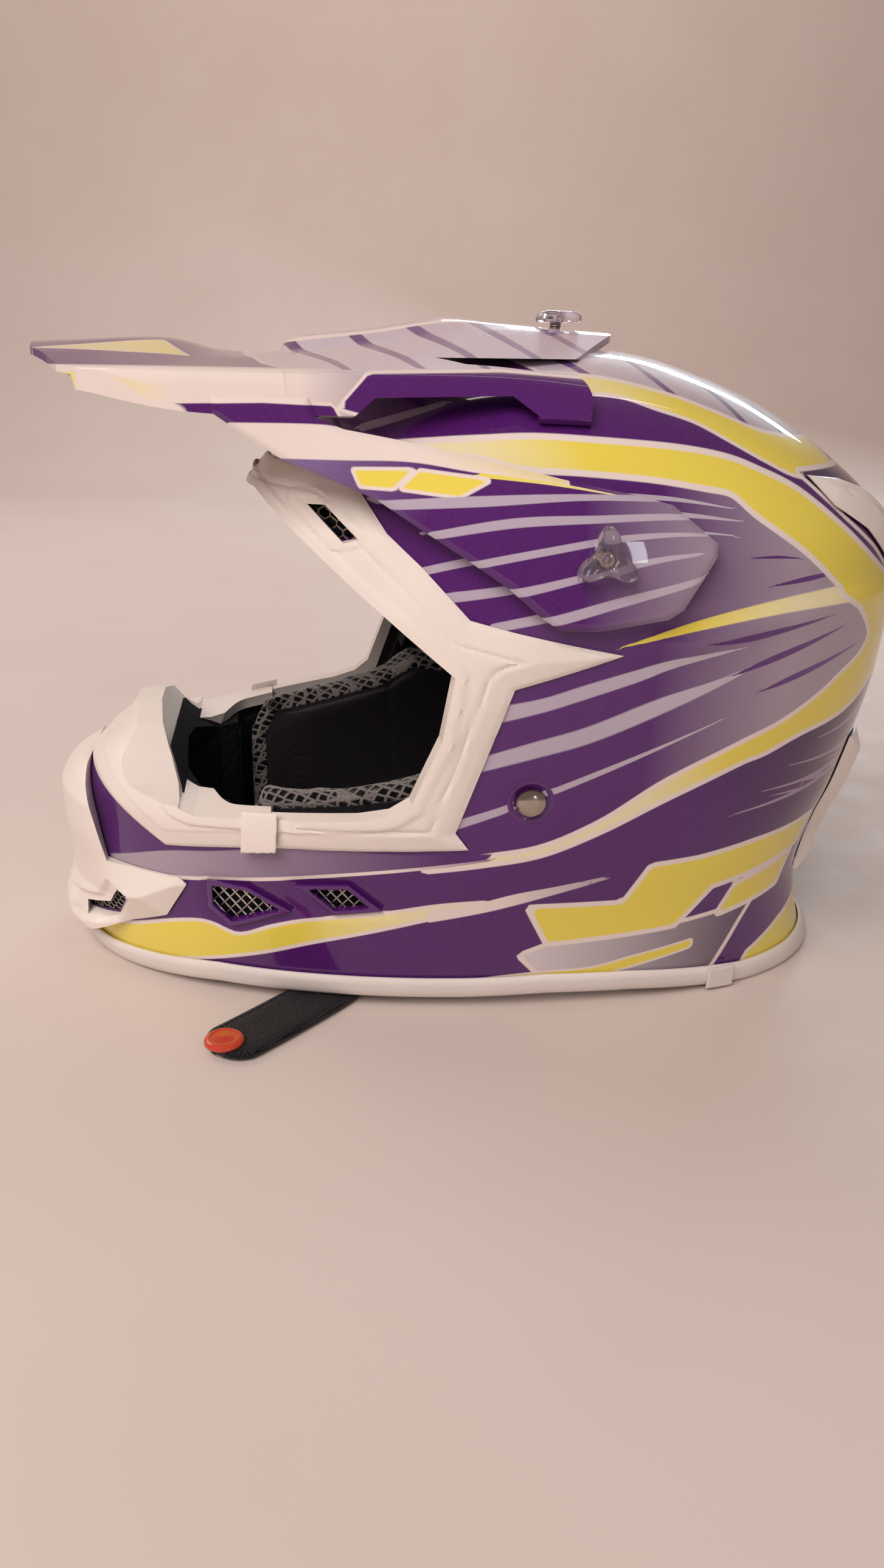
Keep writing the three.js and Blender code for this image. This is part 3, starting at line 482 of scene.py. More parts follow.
def mirrored(piece, name):
    """A new object, the mirror image of a piece on the other side."""
    twin = bpy.data.objects.new(name, piece.data.copy())
    bpy.context.scene.collection.objects.link(twin)
    set_points(twin, points_of(piece) * [-1, 1, 1])
    twin.data.flip_normals()
    return twin


def finished(piece, name, material, slot, body, *nodes, sharp=40):
    """Names, shades and places a piece, and hides the CAD nodes it stands for."""
    piece.name = name
    piece.data.name = name
    piece.data.shade_smooth()
    piece.data.set_sharp_from_angle(angle=math.radians(sharp))
    piece.data.materials.clear()
    piece.data.materials.append(material)
    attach(piece, body)
    if nodes:
        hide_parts(*nodes)
    return piece


def joined(name, parts):
    """One object from lists of points and faces."""
    points, faces = [], []
    for some, their in parts:
        start = sum(len(p) for p in points)
        points.append(np.asarray(some, float))
        faces += [tuple(i + start for i in f) for f in their]
    return mesh_object(name, np.vstack(points), faces)


def tube(path, radius, sides=8, closed=False, flat=1.0, up=(0, 0, 1)):
    """Points and faces of a tube along a path; flat squeezes it along up."""
    path = np.asarray(path, float)
    if closed:
        ahead, behind = np.roll(path, -1, 0), np.roll(path, 1, 0)
    else:
        ahead = np.vstack([path[1:], path[-1:]])
        behind = np.vstack([path[:1], path[:-1]])
    way = unit(ahead - behind)
    side = np.cross(way, up)
    side /= np.maximum(np.linalg.norm(side, axis=1), 1e-6)[:, None]
    lift = np.cross(side, way)
    turn = (np.arange(sides) + 0.5) * 2 * math.pi / sides
    ring = side[:, None] * np.cos(turn)[None, :, None]
    ring = ring + lift[:, None] * (np.sin(turn) * flat)[None, :, None]
    points = (path[:, None] + ring * radius).reshape(-1, 3)
    return points, ring_faces(len(path), sides, closed)


def lathe(profile, place, axis="z", sides=48):
    """A turned piece at a place. Its profile of radius and height starts and ends on its axis."""
    profile = np.asarray(profile, float)
    turn = full_turn(sides)
    inner = profile[1:-1]
    ring = np.stack([
        inner[:, None, 0] * np.cos(turn), inner[:, None, 0] * np.sin(turn),
        np.repeat(inner[:, 1:2], sides, 1),
    ], -1).reshape(-1, 3)
    ends = [(0, 0, profile[0][1]), (0, 0, profile[-1][1])]
    points, faces = capped(ring, ends, len(inner), sides)
    if axis == "x":
        points = points[:, [2, 0, 1]]
    if axis == "-y":
        points = points[:, [0, 2, 1]] * [1, -1, 1]
    return facing_out(mesh_object("lathe", points + np.asarray(place, float), faces))


# ---------------------------------------------------------------- materials


def colour(code):
    """Linear colour from a screen colour code."""
    parts = [int(code[i:i + 2], 16) / 255 for i in (0, 2, 4)]
    return (*[p / 12.92 if p < 0.04045 else ((p + 0.055) / 1.055) ** 2.4 for p in parts], 1)


class Paint:
    """A node material being built."""

    def __init__(self, name, **settings):
        self.made = bpy.data.materials.new(name)
        self.made.use_nodes = True
        self.tree = self.made.node_tree
        self.shader = self.tree.nodes["Principled BSDF"]
        self.place = self.node("ShaderNodeTexCoord").outputs["Object"]
        for key, value in settings.items():
            self.shader.inputs[key.replace("_", " ")].default_value = value

    def node(self, kind, **values):
        made = self.tree.nodes.new(kind)
        for key, value in values.items():
            setattr(made, key, value)
        return made

    def link(self, a, b):
        self.tree.links.new(a, b)

    def ramp(self, value, low, high, to_low=0.0, to_high=1.0):
        made = self.node("ShaderNodeMapRange", clamp=True)
        self.link(value, made.inputs[0])
        for i, number in enumerate((low, high, to_low, to_high)):
            made.inputs[i + 1].default_value = number
        return made.outputs[0]

    def mix(self, factor, a, b):
        made = self.node("ShaderNodeMix", data_type="RGBA")
        if isinstance(factor, float):
            made.inputs[0].default_value = factor
        else:
            self.link(factor, made.inputs[0])
        for socket, value in ((made.inputs[6], a), (made.inputs[7], b)):
            if isinstance(value, tuple):
                socket.default_value = value
            else:
                self.link(value, socket)
        return made.outputs[2]

    def math(self, kind, a, b):
        made = self.node("ShaderNodeMath", operation=kind)
        for socket, value in zip(made.inputs, (a, b)):
            if isinstance(value, (int, float)):
                socket.default_value = value
            else:
                self.link(value, socket)
        return made.outputs[0]

    def scaled(self, scale, turn=(0, 0, 0)):
        made = self.node("ShaderNodeMapping")
        self.link(self.place, made.inputs["Vector"])
        made.inputs["Scale"].default_value = scale if isinstance(scale, tuple) else (scale,) * 3
        made.inputs["Rotation"].default_value = turn
        return made.outputs["Vector"]

    def noise(self, scale, detail=2.0, place=None):
        made = self.node("ShaderNodeTexNoise")
        self.link(place or self.place, made.inputs["Vector"])
        made.inputs["Scale"].default_value = scale
        made.inputs["Detail"].default_value = detail
        return made.outputs["Fac"]

    def voronoi(self, place, feature="F1", randomness=1.0):
        made = self.node("ShaderNodeTexVoronoi", feature=feature)
        self.link(place, made.inputs["Vector"])
        made.inputs["Scale"].default_value = 1
        made.inputs["Randomness"].default_value = randomness
        return made.outputs["Distance"]

    def level(self, name):
        return self.node("ShaderNodeAttribute", attribute_name=name).outputs["Fac"]

    def across(self, y, z):
        """A position along a direction in the side view, in millimetres."""
        made = self.node("ShaderNodeVectorMath", operation="DOT_PRODUCT")
        self.link(self.place, made.inputs[0])
        made.inputs[1].default_value = (0, y / MM, z / MM)
        return made.outputs["Value"]

    def bump(self, height, strength, distance):
        made = self.node("ShaderNodeBump")
        self.link(height, made.inputs["Height"])
        made.inputs["Strength"].default_value = strength
        made.inputs["Distance"].default_value = distance * MM
        self.link(made.outputs["Normal"], self.shader.inputs["Normal"])

    def base(self, value):
        self.link(value, self.shader.inputs["Base Color"])

    def rough(self, value):
        self.link(value, self.shader.inputs["Roughness"])


LINES = -1  # in place of an outline's width: the figure is a set of tapering lines
PURPLE, DEEP, DUSK = colour("521a6c"), colour("340f48"), colour("70498c")
SILVER, PALE = colour("aa9bab"), colour("ecdfda")
YELLOW, CREAM = colour("eedb58"), colour("f0e6ba")

# The livery of the shell, in the order it is laid on. Each row: name, width of its pale outline,
# its two colours, the direction in the side view that they run along with where they start and
# end, and its outlines in the side view.
ARC_OUT = [
    (-60, 208), (-40, 211), (-22, 213), (-10, 214), (8, 215), (30, 214), (55, 212), (73, 209),
    (85, 205), (101, 198), (120, 185), (138, 172), (158, 159),
]
ARC_IN = [
    (-60, 205), (-30, 209), (-12, 210), (3, 207), (23, 206), (46, 204), (65, 201), (74, 199),
    (83, 192), (102, 180), (120, 166),
]
HOOK_IN = [
    (131, 158), (137, 152), (141, 145), (137, 138), (127, 132), (118, 126), (101, 117),
    (83, 110), (57, 98), (35, 83), (14, 73), (-7, 69), (-28, 65),
]
HOOK_OUT = [
    (158, 159), (165, 150), (160, 138), (150, 126), (133, 117), (111, 112), (96, 106.5),
    (85, 103.5), (58, 92), (35, 80), (14, 71), (-7, 67), (-28, 64),
]


def strip(upper, lower):
    """An outline between two curves that run the same way."""
    return np.vstack([curve_through(upper), curve_through(lower)[::-1]])


ARC = np.vstack([
    curve_through(ARC_OUT), curve_through(HOOK_OUT)[1:], curve_through(HOOK_IN)[::-1],
    [(122, 163)], curve_through(ARC_IN)[::-1],
])
SPIKE = [(34, 149.5, 0.3), (62, 156.6, 3.4), (92, 161.4, 5), (121, 163.2, 6.6), (131, 162.6, 8)]
FAN = np.vstack([
    curve_through(ARC_IN), [(133, 158)], curve_through(HOOK_IN),
    [(-45, 66)],
])
# Tapering lines: rows of y, z and width.
STRIPES = [
    [(-44, 194.5, 3), (-13, 196.7, 3.3), (20, 198.5, 2), (50, 197.4, 1.4), (73, 194, 0.3)],
    [(-28, 185.8, 2.6), (-2, 190.5, 3), (25, 192, 2.4), (52, 192.5, 1.8), (76, 190, 0.3)],
    [(-30, 172.8, 2.6), (-15, 177, 2.6), (8, 182, 2.4), (31, 186, 2.1), (54, 187.2, 1.2),
     (74, 185.5, 0.3)],
    [(-21, 165, 3.4), (0, 169, 3), (20, 174, 2.4), (42, 179, 2), (58, 181, 1)],
    [(-8, 155.7, 3), (11, 160.2, 3.4), (31, 165.8, 3.2), (54, 171.4, 2.2), (62, 174, 1.6)],
    [(-6, 125.5, 6), (10, 129.5, 5), (25, 134.5, 5), (42, 139.7, 4.4), (55, 143.7, 3),
     (80, 148, 0.3)],
    [(-14, 105.6, 5.2), (8, 112.7, 6.2), (27, 118.5, 6.4), (51, 128.2, 6), (72, 135.7, 2.8),
     (90, 143, 0.3)],
    [(-20, 82, 3.6), (2, 90.5, 3), (14, 95.7, 2.6), (34, 104.3, 2.1), (56, 113.7, 1.2),
     (76, 122, 0.3)],
]
SPIKES = [
    [(80, 178, 0.3), (90, 178, 1), (100, 177, 0.2)],
    [(88, 168.4, 0.3), (104, 170, 1.8), (122, 171.6, 0.2)],
    [(66, 149.6, 0.3), (84, 151.5, 2.6), (117, 156.5, 0.2)],
    [(76, 137.6, 0.3), (95, 143.5, 2.6), (124, 151.5, 0.2)],
    [(88, 130.5, 0.3), (105, 135.5, 2.4), (134, 143.5, 0.2)],
]
CROWN = [
    (-40, 262), (-10, 250), (16, 236), (37, 233), (59, 228), (74, 223), (92, 217), (98, 214),
    (122, 213), (140, 262),
]
TOP_BAND = strip(
    [(16, 235), (37, 233.5), (59, 228.5), (74, 223.5), (92, 217), (110, 214), (126, 213)],
    [(23, 230), (39, 229), (52, 225), (65, 221), (77, 215), (91, 208), (104, 203), (129, 200)],
)
RIBS = [
    [(17, 243, 1.6), (26, 239, 2.4), (33, 234, 2)], [(50, 243, 1.6), (56, 235, 2.4),
     (62, 228, 2)], [(74, 237, 1.6), (82, 227, 2.4), (88, 218.5, 2)],
    [(93, 231, 1.6), (101, 221.5, 2.4), (106, 214, 2)],
]
CHIN_BAND = strip(
    [(-149, 50), (-126, 59.5), (-106, 64), (-88, 68), (-70, 71), (-40, 70), (-4, 71)],
    [(-148, 44), (-122, 49), (-81, 56), (-58, 60), (-25, 65), (-6, 68)],
)
CHIN_LINE = [
    (-150, 43.4, 1.5), (-122, 49, 1.6), (-81, 56, 1.6), (-58, 60, 1.5), (-25, 65, 1.3),
    (-4, 68.5, 0.8),
]
CHIN_YELLOW = strip(
    [(-160, 16), (-144, 20), (-124, 28), (-110, 31), (-98, 27.5), (-84, 33.5), (-70, 38),
     (-47, 42), (-24, 47), (-5, 49)],
    [(-160, 4), (-140, 8), (-115, 14), (-89, 22), (-70, 29), (-47, 36), (-24, 43), (-5, 48)],
)
SPEAR = strip(
    [(-27, 46), (-12, 48), (5, 53), (21, 56), (42, 60)],
    [(-27, 40), (-5, 45), (16, 51), (42, 58.8)],
)
FLOOR_STRIP = strip(
    [(-24, 9), (-3, 13), (17, 15), (38, 16), (54, 20), (79, 25)],
    [(-24, -4), (-3, 0), (17, 8), (34, 11), (55, 16), (79, 22)],
)
# Plain blades at the lower rear: a broken chevron and two bars.
BLADES = [
    [(12, 46), (48, 46), (57, 62), (76, 63), (100, 66), (132, 68), (128, 57), (84, 50),
     (70, 34), (20, 30)],
    [(96, 47), (124, 53), (119, 41), (90, 36)],
]
BLADE_BODY = [
    [(10, 24), (24, 30), (74, 34), (92, 36), (106, 40), (99, 29), (89, 10), (40, 14), (18, 15)],
]
LOBE = [(103, 2), (108, 12), (124, 21), (150, 30), (180, 34), (180, -10), (103, -10)]
REAR_DARK = np.vstack([
    curve_through(HOOK_OUT)[::-1][30:], [(190, 158), (190, 70), (132, 70), (98, 68), (60, 64)],
])
REAR_LINES = [
    [(122, 107, 0.3), (140, 110, 2), (158, 119, 2), (168, 132, 0.4)],
    [(110, 98, 0.3), (142, 99, 2), (163, 111, 0.5)],
    [(99, 89, 0.3), (133, 91, 1.8), (160, 101, 0.5)],
    [(87, 81, 0.3), (125, 86, 1.8), (158, 93, 0.5)],
]
REAR_WEDGE = [(104, 204), (123, 189), (139, 178), (160, 160), (190, 160), (190, 204)]
PEAK_SHADE = [(-47, 216.5, 2.4), (-33, 221, 2.2), (-19, 225.5, 1.4)]
# Next to each other the stripes' gaps would meet, so every other one is laid on apart.
STRIPE_ROWS = [
    (name, LINES, colour("b9adc0"), colour("c4bcc8"), (1, 0, 20, 90), STRIPES[first::2])
    for first, name in enumerate(("stripes_a", "stripes_b"))
]
SHELL_LIVERY = [
    ("fan", 0, PURPLE, SILVER, (1, 0, 48, 100), [FAN]),
    *STRIPE_ROWS,
    ("spikes", LINES, PURPLE, DUSK, (1, 0, 70, 130), SPIKES),
    ("crown", 1.2, colour("c9c0cc"), SILVER, (1, 0, 20, 120), [CROWN]),
    ("ribs", LINES, DEEP, DUSK, (0, 1, 214, 240), RIBS),
    ("top_band", 1.2, CREAM, YELLOW, (1, 0, 14, 60), [TOP_BAND]),
    ("wedge", 1.5, DEEP, PURPLE, (1, 0, 110, 170), [REAR_WEDGE]),
    ("rear", 0, PURPLE, DEEP, (1, 0.4, 100, 190), [REAR_DARK]),
    ("rear_lines", LINES, SILVER, DUSK, (1, 0, 100, 168), REAR_LINES),
    ("spike", LINES, YELLOW, CREAM, (1, 0, 60, 100), [SPIKE]),
    ("arc", 2, CREAM, YELLOW, (1, 0.54, 100, 137), [ARC]),
    ("shade", LINES, SILVER, SILVER, (1, 0, 0, 1), [PEAK_SHADE]),
    ("chin_band", 0, SILVER, PURPLE, (1, 0, -128, -20), [CHIN_BAND]),
    ("chin_line", LINES, PALE, DUSK, (1, 0, -40, 5), [CHIN_LINE]),
    ("chin_yellow", 1.6, YELLOW, CREAM, (1, 0, -75, -30), [CHIN_YELLOW]),
    ("spear", 0, PALE, SILVER, (1, 0, 0, 45), [SPEAR]),
    ("blade_body", 2, colour("d9d0d6"), DEEP, (1, 0, 15, 110), BLADE_BODY),
    ("floor_strip", 1, YELLOW, YELLOW, (1, 0, 0, 1), [FLOOR_STRIP]),
    ("blades", 2.2, YELLOW, YELLOW, (1, 0, 0, 1), BLADES),
    ("lobe", 2, YELLOW, YELLOW, (1, 0, 0, 1), [LOBE]),
]


def lay_on(piece, livery, plan=()):
    """Writes how far each point is inside each figure, seen from above where named in plan."""
    points = points_of(piece)
    side, above = points[:, 1:], np.stack([np.abs(points[:, 0]), points[:, 1]], 1)
    for name, width, *_, outlines in livery:
        view = above if name in plan else side
        if width == LINES:
            share, gap = ribbons(view, outlines)
            attribute(piece, name, share)
            attribute(piece, name + "_gap", gap)
        else:
            attribute(piece, name, np.max([inside(view, outline) for outline in outlines], 0))


def livery_paint(name, livery, ground):
    """Glossy lacquer over a stack of painted figures with slightly soft edges."""
    soft = 0.22
    paint = Paint(name, Coat_Weight=1.0, Coat_Roughness=0.03, Specular_IOR_Level=0.15)
    shade = paint.mix(paint.noise(9, 1), ground, DEEP)
    shade = paint.mix(0.85, shade, ground)
    for figure, width, first, last, (y, z, start, end), _ in livery:
        level = paint.level(figure)
        if width == LINES:
            beside = paint.ramp(paint.level(figure + "_gap"), 1.2, 1.8, 1.0, 0.0)
            across = paint.ramp(paint.math("ABSOLUTE", level, 0), 0.88, 1.1, 1.0, 0.0)
            mask = paint.math("MULTIPLY", across, beside)
        else:
            mask = paint.ramp(level, -soft, soft)
        if width > 0:
            shade = paint.mix(paint.ramp(level, -width - soft, -width + soft), shade, PALE)
        fill = first
        if first != last:
            fill = paint.mix(paint.ramp(paint.across(y, z), start, end), first, last)
        shade = paint.mix(mask, shade, fill)
    flakes = paint.voronoi(paint.scaled(2600))
    shade = paint.mix(paint.ramp(flakes, 0.05, 0.3, 0.10, 0.0), shade, PALE)
    paint.base(shade)
    smears = paint.noise(38, 5)
    paint.rough(paint.ramp(smears, 0.35, 0.7, 0.26, 0.40))
    orange_peel = paint.noise(420, 1)
    paint.bump(orange_peel, 0.04, 0.15)
    return paint.made


def plastic(name, code, rough, grain=900, depth=0.12, worn=0.05, **settings):
    """Moulded plastic or rubber with a fine grain and a little handling dirt."""
    paint = Paint(name, **settings)
    tint = colour(code)
    dirty = tuple(c * 0.72 for c in tint[:3]) + (1,)
    spread = paint.ramp(paint.noise(24, 6), 0.45, 0.75, 0.0, worn * 4)
    specks = paint.ramp(paint.voronoi(paint.scaled(190)), 0.04, 0.075, worn * 6, 0.0)
    paint.base(paint.mix(specks, paint.mix(spread, tint, dirty), dirty))
    paint.rough(paint.ramp(paint.noise(60, 4), 0.3, 0.7, rough - 0.07, rough + 0.1))
    paint.bump(paint.noise(grain, 2), depth, 0.3)
    return paint.made


def foam(name, code, bead):
    """Bead foam: packed round cells."""
    paint = Paint(name, Specular_IOR_Level=0.2)
    tint = colour(code)
    cells = paint.voronoi(paint.scaled(1000 / bead), "DISTANCE_TO_EDGE")
    dark = tuple(c * 0.45 for c in tint[:3]) + (1,)
    paint.base(paint.mix(paint.ramp(cells, 0.0, 0.12), dark, tint))
    paint.rough(paint.ramp(cells, 0.0, 0.3, 1.0, 0.95))
    paint.bump(paint.ramp(cells, 0.0, 0.3), 0.6, 0.5)
    return paint.made


def metal(name, code, rough):
    """Metal with fine streaks along Y."""
    paint = Paint(name, Metallic=1.0)
    tint = colour(code)
    worn = tuple(c * 0.6 for c in tint[:3]) + (1,)
    streaks = paint.noise(1, 3, paint.scaled((900, 90, 900)))
    paint.base(paint.mix(paint.ramp(streaks, 0.5, 0.8, 0.0, 0.3), tint, worn))
    paint.rough(paint.ramp(paint.noise(300, 3), 0.3, 0.7, rough - 0.06, rough + 0.12))
    paint.bump(streaks, 0.05, 0.1)
    return paint.made


def pad_cloth(name, split):
    """Smooth black cloth where the level called edge is above a split, open mesh below it."""
    paint = Paint(name, Specular_IOR_Level=0.25, Sheen_Weight=0.35, Sheen_Roughness=0.4)
    holes = paint.voronoi(
        paint.scaled((270, 235, 350), (0.5, 0.35, 0.78)), "DISTANCE_TO_EDGE", 0.18,
    )
    thread = paint.noise(1, 2, paint.scaled((2100, 2100, 2100)))
    grey = paint.mix(paint.ramp(thread, 0.3, 0.7), colour("8d8682"), colour("5f5a5b"))
    open_mesh = paint.mix(paint.ramp(holes, 0.10, 0.17), grey, colour("0c0b0e"))
    weave = paint.voronoi(paint.scaled(1500), randomness=0.3)
    smooth = paint.mix(paint.ramp(weave, 0.1, 0.7), colour("0d0c0f"), colour("232127"))
    where = paint.ramp(paint.level("edge"), split - 0.3, split + 0.3)
    paint.base(paint.mix(where, open_mesh, smooth))
    relief = paint.node("ShaderNodeMix", data_type="FLOAT")
    paint.link(where, relief.inputs[0])
    paint.link(paint.ramp(holes, 0.05, 0.3, 1.0, 0.0), relief.inputs[2])
    paint.link(paint.math("MULTIPLY", weave, 0.12), relief.inputs[3])
    paint.bump(relief.outputs[0], 0.8, 0.9)
    paint.rough(paint.ramp(holes, 0.05, 0.3, 0.78, 0.95))
    return paint.made


def webbing(name):
    """Ribbed nylon tape: fine diagonal and cross ribs."""
    paint = Paint(name, Specular_IOR_Level=0.3, Sheen_Weight=0.3, Sheen_Roughness=0.35)
    ribs = paint.node("ShaderNodeTexWave", bands_direction="DIAGONAL")
    paint.link(paint.scaled(520), ribs.inputs["Vector"])
    ribs.inputs["Scale"].default_value = 1
    ribs.inputs["Distortion"].default_value = 0.6
    cross = paint.voronoi(paint.scaled(1300), randomness=0.5)
    weave = paint.math("MULTIPLY", ribs.outputs["Fac"], cross)
    paint.base(paint.mix(paint.ramp(weave, 0.0, 0.5), colour("0e0d10"), colour("2b292e")))
    paint.rough(paint.ramp(weave, 0.0, 0.5, 0.9, 0.65))
    paint.bump(weave, 0.7, 0.4)
    return paint.made


def clear(name):
    """Clear moulded plastic with faint haze."""
    paint = Paint(name, Transmission_Weight=0.95, IOR=1.49, Roughness=0.05)
    haze = paint.noise(160, 3)
    paint.base(paint.mix(haze, colour("f3eef6"), colour("ddd3e2")))
    paint.rough(paint.ramp(haze, 0.3, 0.7, 0.02, 0.09))
    paint.bump(paint.noise(500, 1), 0.05, 0.1)
    return paint.made


# ---------------------------------------------------------------- the shell

RIDGE = [(35, 149), (59, 150), (92, 157), (133, 160), (158, 159)]


def to_line(points, corners):
    """Distance of 2-D points to an open line."""
    path = np.asarray(corners, float)
    each = [np.hypot(*to_segment(points, a, b)[1].T) for a, b in zip(path[:-1], path[1:])]
    return np.min(each, 0)


def below_rim(raised):
    """Everything under the rim's lower edge raised by a distance."""
    return prism([(y, z + raised) for y, z in RIM_LINE] + [(200, -60), (-200, -60)])


def make_shell():
    outer = ball(0, 380, 150)
    points, out = points_of(outer), point_normals(outer)
    side = points[:, 1:]
    fades_in = np.clip((side[:, 0] - 32) / 30, 0, 1)
    lift = 1.4 * np.exp(-(to_line(side, RIDGE) / 4.5) ** 2) * fades_in
    for vent in (FRONT_VENT, REAR_VENT):
        lift -= 1.3 * np.clip((inside(side, grown(vent, 3.6)) + 1) / 2.5, 0, 1)
    dimple = np.hypot(side[:, 0] - RIVET[0], side[:, 1] - RIVET[1])
    lift -= 1.1 * np.clip((9.2 - dimple) / 2.5, 0, 1)
    set_points(outer, points + out * lift[:, None])
    piece = cut(
        outer, ball(-WALL, 150, 60), below_rim(2.8), prism(SHELL_PORT),
        above_arch(NOSE_CAP + GLUE), prism(CHIN_SLOT),
        prism(FRONT_VENT), prism(REAR_VENT), prism(BROW_VENT), prism(circle(SCREW_HOLE, PIVOT)),
        prism(circle(SCREW_HOLE, RIVET)), prism(circle(SCREW_HOLE, (0, TOP_SCREW_Y)), "z"),
    )
    lay_on(piece, SHELL_LIVERY)
    finished(
        piece, "shell_painted", livery_paint("shell lacquer", SHELL_LIVERY, PURPLE),
        "shell_paint", "helmet", "outer_shell", sharp=32,
    )
    # The inside and the cut edges are bare.
    piece.data.materials.append(plastic("bare composite", "201e22", 0.7))
    for face in piece.data.polygons:
        outward = face.center / MM - Vector((0, 25, 110))
        if face.normal.dot(outward.normalized()) < 0.15:
            face.material_index = 1


make_shell()

# ---------------------------------------------------------------- the white trims

white = plastic("white moulding", "f0e7e0", 0.34, Coat_Weight=0.25, Coat_Roughness=0.2)
rubber = plastic("white rubber", "e9e2de", 0.5, grain=1500, depth=0.2, worn=0.08)
black = plastic("black plastic", "1a191c", 0.5, worn=0.1)


def white_piece(piece, name, node):
    finished(piece, name, white, "white_plastic", "helmet", node, sharp=30)


def step(value, low, high):
    """Smooth step from 0 to 1."""
    f = np.clip((value - low) / (high - low), 0, 1)
    return f * f * (3 - 2 * f)


# How far a moulding rises: distances from its outline, then heights.
TRIM_BEVEL = ([0, 1.2, 7.2, 7.8, 8.8, 9.8, 12], [0.5, 1.4, 2.7, 2.7, 2.1, 2.9, 3.1])
NOSE_BEVEL = ([0, 1.2, 6.5, 7.4, 12], [0.5, 1.3, 2.4, 2.9, 3.4])


def trim_offset(base):
    """The trim rises from its outline over a bevel with a groove behind it, with a raised lip
    along the eye port and a frame round its vent."""
    side = base[:, 1:]
    rise = np.interp(inside(side, TRIM), *TRIM_BEVEL)
    lip = 0.8 * (1 - step(-inside(side, EYE_PORT), 4.4, 5.6))
    to_frame = np.abs(-inside(side, BROW_VENT) - 2.2)
    return GLUE + (rise + lip + 0.7 * (1 - step(to_frame, 1.2, 1.9)))


def make_trim():
    piece = keep(slab(-WALL, trim_offset, (-108, 108), (64, 208), 400, 190), prism(TRIM))
    shell_space = cut(
        slab(-8, FIT, (-112, 112), (60, 212), 220, 100), prism(grown(SHELL_PORT, -GLUE)),
    )
    piece = cut(
        piece, shell_space, prism(EYE_PORT), prism(BROW_VENT),
        prism(circle(3.8, (0, BROW_SCREW[1])), "y", -110, -82.5),
    )
    white_piece(piece, "eye_port_moulding", "eye_port_trim")


def nose_offset(base):
    """The mouthpiece stands proud towards its peak, with faces that fall to both sides."""
    side = base[:, 1:]
    rise = np.interp(inside(side, NOSE), *NOSE_BEVEL)
    lip = 0.9 * (1 - step(-inside(side, EYE_PORT), 3.6, 4.8))
    middle = np.clip(1 - np.abs(base[:, 0]) / 44, 0, 1)
    peak = 1.8 * middle * step(base[:, 2], 92, 103)
    flat = 2.6 * middle * np.exp(-((base[:, 2] - 91) / 6) ** 2)
    return np.maximum(GLUE + rise + lip + peak - flat, 0.8)


def nose_depth(base):
    """How far in the mouthpiece reaches: a lip at the sides, a bridge in front."""
    return -9 - 13.5 * step(-base[:, 1], 100, 124)


def make_mouthpiece():
    piece = slab(-22, nose_offset, (-66, 66), (58, 118), 320, 120, True)
    piece = keep(piece, prism(NOSE), below_arch())
    shell_space = cut(
        slab(-40, FIT, (-72, 72), (50, 124), 150, 70, True),
        prism(grown(SHELL_PORT, -GLUE)), above_arch(NOSE_CAP),
    )
    behind = slab(-40, nose_depth, (-72, 72), (50, 124), 150, 70, True)
    piece = cut(piece, shell_space, behind, prism(EYE_PORT))
    white_piece(piece, "mouthpiece_moulding", "mouthpiece")


# How far the mouth vent's front stands off the shell: heights, then distances.
CHIN_PROFILE = (
    (12, 13.5, 16, 20, 27, 33, 45, 62, 71, 76, 83.4),
    (4.5, 6.6, 7.6, 7.4, 5.2, 3.5, 4.3, 6.7, 7.4, 5.8, 0.9),
)


def chin_offset(base):
    """The mouth vent rises over bevels at its sides, and its slots lie in a dish."""
    side = base[:, 1:]
    bevel = np.minimum(1.3 + 0.5 * inside(side, CHIN_VENT), 1.3 + 0.8 * (83 - base[:, 2]))
    ahead = step(-base[:, 1], 138, 154)
    front = np.interp(base[:, 2], *CHIN_PROFILE)
    proud = np.clip(bevel, 0.6, 7.2) * (1 - ahead) + front * ahead
    dished = 2.4 * step(inside(side, grown(CHIN_SLOT, 3.5)), 0, 2)
    return GLUE + np.maximum(proud - dished, 0.8)


def make_chin():
    piece = slab(FIT, chin_offset, (-76, 76), (8, 88), 320, 130)
    rim_space = keep(slab(-8, 3.4, (-90, 90), (-8, 16), 150, 20), below_rim(9.9))
    piece = keep(piece, prism(CHIN_VENT))
    piece = cut(piece, prism(grown(CHIN_SLOT, 0.5)), rim_space)
    white_piece(piece, "chin_moulding", "mouth_vent")


def make_rim():
    """The rubber round the lower edge: a rounded channel swept round the shell."""
    profile = [
        (-5.9, 9.3), (-6.7, 8.6), (-7, 6.5), (-6.9, 3), (-6.2, 1), (-4.8, 0.15), (-2, 0),
        (0.6, 0.05), (2.0, 0.5), (2.7, 1.7), (2.9, 3.6), (2.9, 6.4), (2.5, 8.4), (1.6, 9.4),
        (0.7, 9.4), (FIT, 8.6), (FIT, 3), (-0.4, 2.55), (-3.6, 2.55), (-4.3, 3), (-4.35, 8.8),
        (-5.0, 9.4),
    ]
    around = 520
    angles = full_turn(around)
    foot = on_shell(angles, at_height(np.full(around, 6.0)))
    start = np.interp(foot[:, 1], *np.array(RIM_LINE).T)
    rings = []
    for offset, height in profile:
        position = at_height(start + height)
        ring = on_shell(angles, position) + normals(angles, position) * offset
        ring[:, 2] = start + height
        rings.append(ring)
    points = np.stack(rings, 1).reshape(-1, 3)
    piece = facing_out(mesh_object("rim", points, ring_faces(around, len(profile), True)))
    finished(piece, "rim_rubber", rubber, "white_rubber", "helmet", "rim_trim", sharp=75)


